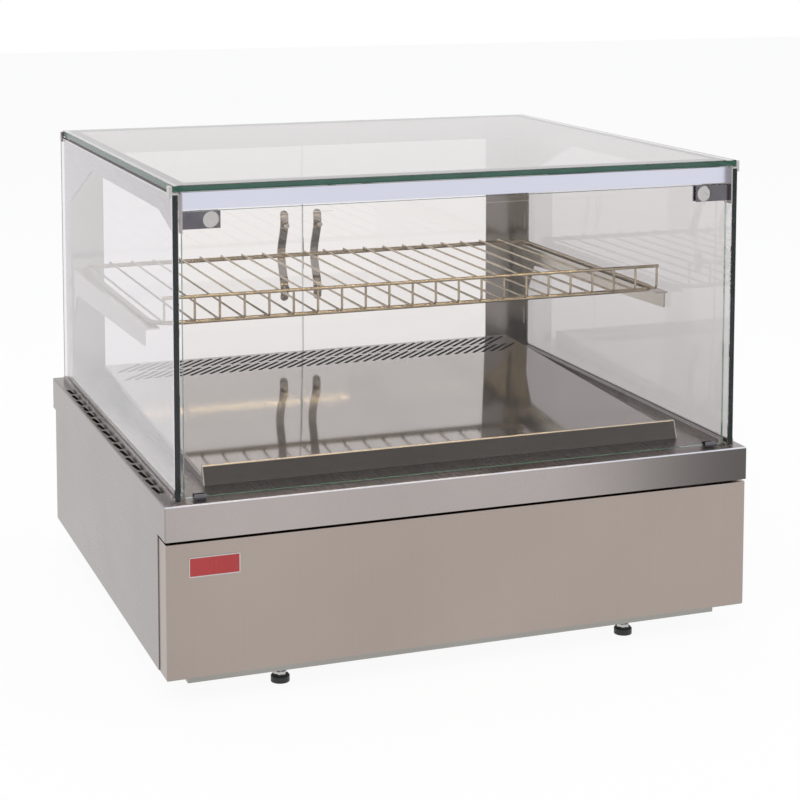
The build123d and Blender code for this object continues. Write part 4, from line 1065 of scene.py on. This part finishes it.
@dataclass
class MachineBase(SubAssembly):
    """Body, covers, feet, louvre hoods and screws.

    Attributes:
        hood_length: length of a louvre hood.
        hood_height: height of a hood.
        hood_depth: how far a hood stands off the panel.
        hood_pitch: spacing of the hoods.
        hood_count: hoods in a column.
        hood_columns: middles of the columns across.
        screw_radius: radius of a screw head.
        screw_height: height of a screw head.
        screw_recess: width of its cross recess.
        badge_rim: width of the badge's bare rim.
        foot_height: height of a foot's black pad, under its bright stud.
        edge_highlight_width: width of the painted highlight along the shell's front edge.
    """

    hood_length: float = 154 * MM
    hood_height: float = 7 * MM
    hood_depth: float = 4.5 * MM
    hood_pitch: float = 14 * MM
    hood_count: int = 9
    hood_columns: tuple[float, ...] = (0.0, 235 * MM)
    screw_radius: float = 4 * MM
    screw_height: float = 2.2 * MM
    screw_recess: float = 1.1 * MM
    badge_rim: float = 1.3 * MM
    foot_height: float = 9.1 * MM
    edge_highlight_width: float = 1.6 * MM

    def hoods(self) -> bpy.types.Object:
        """Model one pressed hood and copy it over every louvre slot.

        Returns:
            The hoods as one piece.
        """
        low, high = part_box("rear_panel")
        base = (low.z + high.z) / 2 - (self.hood_count - 1) / 2 * self.hood_pitch
        foot = base - 1 * MM
        half = self.hood_length / 2
        hood = cube("hood", (-half, high.y - 0.2 * MM, foot), (half, high.y + self.hood_depth, foot + self.hood_height))
        outer = high.y + self.hood_depth
        round_edges(hood, 4.0 * MM, 5, lambda middle, run: middle.y > outer - 0.1 * MM and (
            middle.z > foot + self.hood_height - 0.1 * MM or abs(run.z) > 0.9))
        pick(hood, Part.FACE, lambda middle, normal: normal.z < -0.9 or normal.y < -0.9)
        bpy.ops.mesh.delete(type="FACE")
        bpy.ops.object.mode_set(mode="OBJECT")
        wall = hood.modifiers.new("wall", "SOLIDIFY")
        wall.thickness = 0.8 * MM
        wall.offset = -1.0
        bpy.context.view_layer.objects.active = hood
        bpy.ops.object.modifier_apply(modifier=wall.name)
        shifts = [(x, 0.0, row * self.hood_pitch) for x in self.hood_columns for row in range(self.hood_count)]
        return smooth(copies(hood, "louvre_hoods", shifts))

    def screws(self) -> bpy.types.Object:
        """Model one cross-recessed head and copy it to each screw of the service panel.

        Returns:
            The screws as one piece.
        """
        low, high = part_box("frame_screws")
        start = Vector((low.x + self.screw_radius, (low.y + high.y) / 2, low.z + self.screw_radius))
        head = disc("screw", start, self.screw_radius, self.screw_height, Direction.DEEP, 28)
        round_edges(head, 1.1 * MM, 4, lambda middle, run: middle.y > high.y - 0.1 * MM)
        arm = self.screw_radius * 0.55
        reach = Vector((arm, 1 * MM, self.screw_recess / 2))
        face = Vector((start.x, high.y, start.z))
        carve(head, cube("recess", face - reach, face + reach))
        reach = Vector((self.screw_recess / 2, 1 * MM, arm))
        carve(head, cube("recess", face - reach, face + reach))
        columns = (0.0, -low.x - self.screw_radius - 127.5 * MM, -low.x - self.screw_radius + 127.5 * MM,
                   -2 * (low.x + self.screw_radius))
        rows = (0.0, high.z - low.z - 2 * self.screw_radius)
        return smooth(copies(head, "panel_screws", [(x, 0.0, z) for x in columns for z in rows]))

    def build(self) -> None:
        """Dress the base and add hoods and screws."""
        low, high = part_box("body_shell")
        # The shell's front top edge gets a painted highlight.
        dress_nodes(replace(Finishes.shell, painted_edge_highlight=(low.y, high.z, self.edge_highlight_width)), "body_shell")
        dress_nodes(Finishes.apron, "front_panel")
        dress_nodes(Finishes.hidden, "bottom_pan", "control_box")
        dress_nodes(Finishes.service, "rear_panel")
        low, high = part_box("badge_plate")
        middle, half = (low + high) / 2, (high - low) / 2
        badge = Rimmed("badge", (middle.x, middle.z), (half.x, half.z), self.badge_rim, Finishes.red, Finishes.chrome)
        dress_nodes(badge, "badge_plate")
        foot = Split("levelling foot", Direction.UP, self.foot_height, Finishes.black, Finishes.chrome)
        dress_nodes(foot, "foot_front_left", "foot_front_right", "foot_rear_left", "foot_rear_right")
        self.settle(self.hoods(), Finishes.service, "base", "service_steel")
        screws = self.settle(self.screws(), Finishes.chrome, "base", "screw_steel")
        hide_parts("frame_screws")


@dataclass
class Controls(SubAssembly):
    """Controller, switches and cord gland.

    Attributes:
        window_margin: gap between the window and its recess.
        lamp_radius: radius of a small lamp.
    """

    window_margin: float = 0.4 * MM
    lamp_radius: float = 1.2 * MM

    def window(self) -> bpy.types.Object:
        """Model the dark window of the controller.

        Returns:
            The window.
        """
        low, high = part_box("controller_bezel")
        left = low.x + 5 * MM + self.window_margin
        middle = (low.z + high.z) / 2
        half = 9 * MM - self.window_margin
        glass = cube("display_window", (left, high.y - 1 * MM, middle - half),
                     (left + 30 * MM - 2 * self.window_margin, high.y - 0.2 * MM, middle + half))
        round_edges(glass, 0.3 * MM, 3, lambda place, run: place.y > high.y - 0.3 * MM)
        return smooth(glass)

    def lamps(self) -> bpy.types.Object:
        """Model one domed lamp and copy it beside the window.

        Returns:
            The lamps as one piece.
        """
        low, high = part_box("controller_bezel")
        spot = (low.x + 39.5 * MM, high.y + 0.1 * MM, high.z - 5 * MM)
        lamp = disc("lamp", spot, self.lamp_radius, 0.6 * MM, Direction.DEEP, 20)
        round_edges(lamp, 0.25 * MM, 3, lambda middle, run: middle.y > high.y + 0.3 * MM)
        return smooth(copies(lamp, "controller_lamps", [(0.0, 0.0, 0.0), (9 * MM, 0.0, 0.0)]))

    def build(self) -> None:
        """Dress the controls and add the window and lamps."""
        dress_nodes(Finishes.black, "controller_bezel", "switch_frames", "rocker_light", "cord_gland")
        dress_nodes(Finishes.key, "button_set", "button_down", "button_up")
        dress_nodes(Finishes.green, "rocker_power")
        self.settle(self.window(), Finishes.window, "base", "controller_black")
        self.settle(self.lamps(), Finishes.lamp, "base", "controller_black")


@dataclass
class MachineRoom(SubAssembly):
    """Cold well, coils, fans, compressor and pipes.

    Attributes:
        guard_rings: radii of the guard's rings.
        guard_wire: radius of its wire.
    """

    guard_rings: tuple[float, ...] = (18 * MM, 32 * MM, 46 * MM, 60 * MM)
    guard_wire: float = 1.0 * MM

    def guard(self) -> bpy.types.Object:
        """Model the wire guard in front of the condenser fan.

        Returns:
            The guard.
        """
        low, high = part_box("condenser_fan_frame")
        blade_low, blade_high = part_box("condenser_fan_blades")
        middle = (blade_low + blade_high) / 2
        centre = Vector((middle.x, blade_low.y - 6 * MM, middle.z))
        wires = [ring("guard_ring", centre, radius, self.guard_wire, Direction.DEEP) for radius in self.guard_rings]
        reach = self.guard_rings[-1] + 8 * MM
        for along in (Direction.ACROSS, Direction.UP):
            behind = centre + Vector((0.0, 2 * self.guard_wire, 0.0))
            wires.append(disc("guard_bar", behind, self.guard_wire, 2 * reach, along, 8))
        return smooth(merge("fan_guard", wires), 60.0)

    def build(self) -> None:
        """Dress the machine parts and add the guard."""
        dress_nodes(Finishes.foam, "well_insulation")
        # The dark well steel is painted shade for the recess.
        dress_nodes(Finishes.well, "well_liner")
        dress_nodes(Finishes.fins, "evaporator", "condenser", "condenser_fan_blades")
        dress_nodes(Finishes.black, "evaporator_fan_frame", "evaporator_fan_blades", "condenser_fan_frame",
                    "drain_tray")
        dress_nodes(Finishes.pot, "compressor")
        dress_nodes(Finishes.rubber, "compressor_mounts")
        dress_nodes(Finishes.copper, "refrigerant_pipes")
        self.settle(self.guard(), Finishes.black, "base", "hot_fan_frame_steel")


@dataclass
class Studio:
    """Floor, lights, white background and the camera at the photograph's place.

    Attributes:
        camera_place: where the camera stands, in millimetres.
        heading: its turn from the depth direction, in degrees.
        dip: how far it looks down, in degrees.
        focal_pixels: its focal length in pixels of the frame.
        centre_pixels: where its axis meets the frame.
        floor_half: half the floor's side in metres.
        floor_shine: share of the floor that is plain white to the eye.
        sensor_width: width of the camera's sensor in millimetres.
        sight: how far the camera sees, in metres.
        lamps: each lamp's name, place, aim, size and power.
    """

    camera_place: Point = (-893.1, -2448.25, 898.0)
    heading: float = 20.0756
    dip: float = 5.431
    focal_pixels: float = 1918.82
    centre_pixels: tuple[float, float] = (375.0, 115.56)
    floor_half: float = 12.0
    floor_shine: float = 0.93
    sensor_width: float = 36.0
    sight: float = 60.0
    lamps: tuple[tuple[str, Point, Point, tuple[float, float], float], ...] = field(default=(
        ("key", (-2.2, -2.4, 2.9), (0.0, 0.0, 0.3), (2.4, 1.8), 62.0),
        ("fill", (2.6, -1.6, 2.0), (0.0, 0.0, 0.3), (1.8, 1.8), 24.0),
        ("top", (0.2, 0.8, 3.2), (0.0, 0.0, 0.3), (2.6, 2.0), 40.0),
    ))

    def camera(self) -> None:
        """Set the camera."""
        data = bpy.data.cameras.new("camera")
        data.sensor_width = self.sensor_width
        data.lens = self.focal_pixels / FRAME_PIXELS * data.sensor_width
        data.shift_x = (FRAME_PIXELS / 2 - self.centre_pixels[0]) / FRAME_PIXELS
        data.shift_y = (self.centre_pixels[1] - FRAME_PIXELS / 2) / FRAME_PIXELS
        data.clip_end = self.sight
        eye = bpy.data.objects.new("camera", data)
        eye.location = [part * MM for part in self.camera_place]
        eye.rotation_euler = (math.radians(90.0 - self.dip), 0.0, math.radians(-self.heading))
        bpy.context.collection.objects.link(eye)
        bpy.context.scene.camera = eye

    def lights(self) -> None:
        """Hang the soft lights."""
        for name, place, aim, size, power in self.lamps:
            data = bpy.data.lights.new(name, "AREA")
            data.shape = "RECTANGLE"
            data.size, data.size_y = size
            data.energy = power
            lamp = bpy.data.objects.new(name, data)
            lamp.visible_glossy = False
            lamp.location = place
            lamp.rotation_euler = (Vector(aim) - Vector(place)).to_track_quat("-Z", "Y").to_euler()
            bpy.context.collection.objects.link(lamp)

    def backdrop(self) -> None:
        """Make the world white to the eye and softer as a light."""
        world = bpy.data.worlds.new("studio")
        bpy.context.scene.world = world
        graph = Graph(world)
        seen = graph.ray("Is Camera Ray").most(graph.ray("Is Glossy Ray")).most(graph.ray("Is Transmission Ray"))
        soft = graph.add("ShaderNodeBackground", None, {"Color": (0.93, 0.95, 1.0, 1.0), "Strength": 0.55})
        white = graph.add("ShaderNodeBackground", None, {"Color": (1.0, 1.0, 1.0, 1.0), "Strength": 1.0})
        graph.close(graph.blend(seen, soft.outputs[0], white.outputs[0]), "ShaderNodeOutputWorld")

    def floor(self) -> None:
        """Lay the pale floor."""
        deselect_all()
        bpy.ops.mesh.primitive_plane_add(size=2 * self.floor_half)
        plane = named("floor")
        material = bpy.data.materials.new("pale floor")
        graph = Graph(material)
        matt = graph.add("ShaderNodeBsdfDiffuse", None, {"Color": (0.86, 0.86, 0.86, 1.0)}).outputs[0]
        white = graph.add("ShaderNodeEmission", None, {"Color": (1.0, 1.0, 1.0, 1.0), "Strength": 1.0}).outputs[0]
        seen = graph.ray("Is Camera Ray").most(graph.ray("Is Glossy Ray")).most(graph.ray("Is Transmission Ray"))
        graph.close(graph.blend(seen * self.floor_shine, matt, white))
        plane.data.materials.append(material)

    def build(self) -> None:
        """Set up the whole studio."""
        self.camera()
        self.lights()
        self.backdrop()
        self.floor()
        bpy.context.scene.view_settings.view_transform = "Standard"
        log.info("Studio: camera, %d lights, floor", len(self.lamps))


def main() -> None:
    """Build every group."""
    for group in (MachineBase(), Controls(), MachineRoom(), ShelfAndDeck(), GlassCase()):
        group.build()
    Studio().build()


if __name__ == "__main__":
    main()
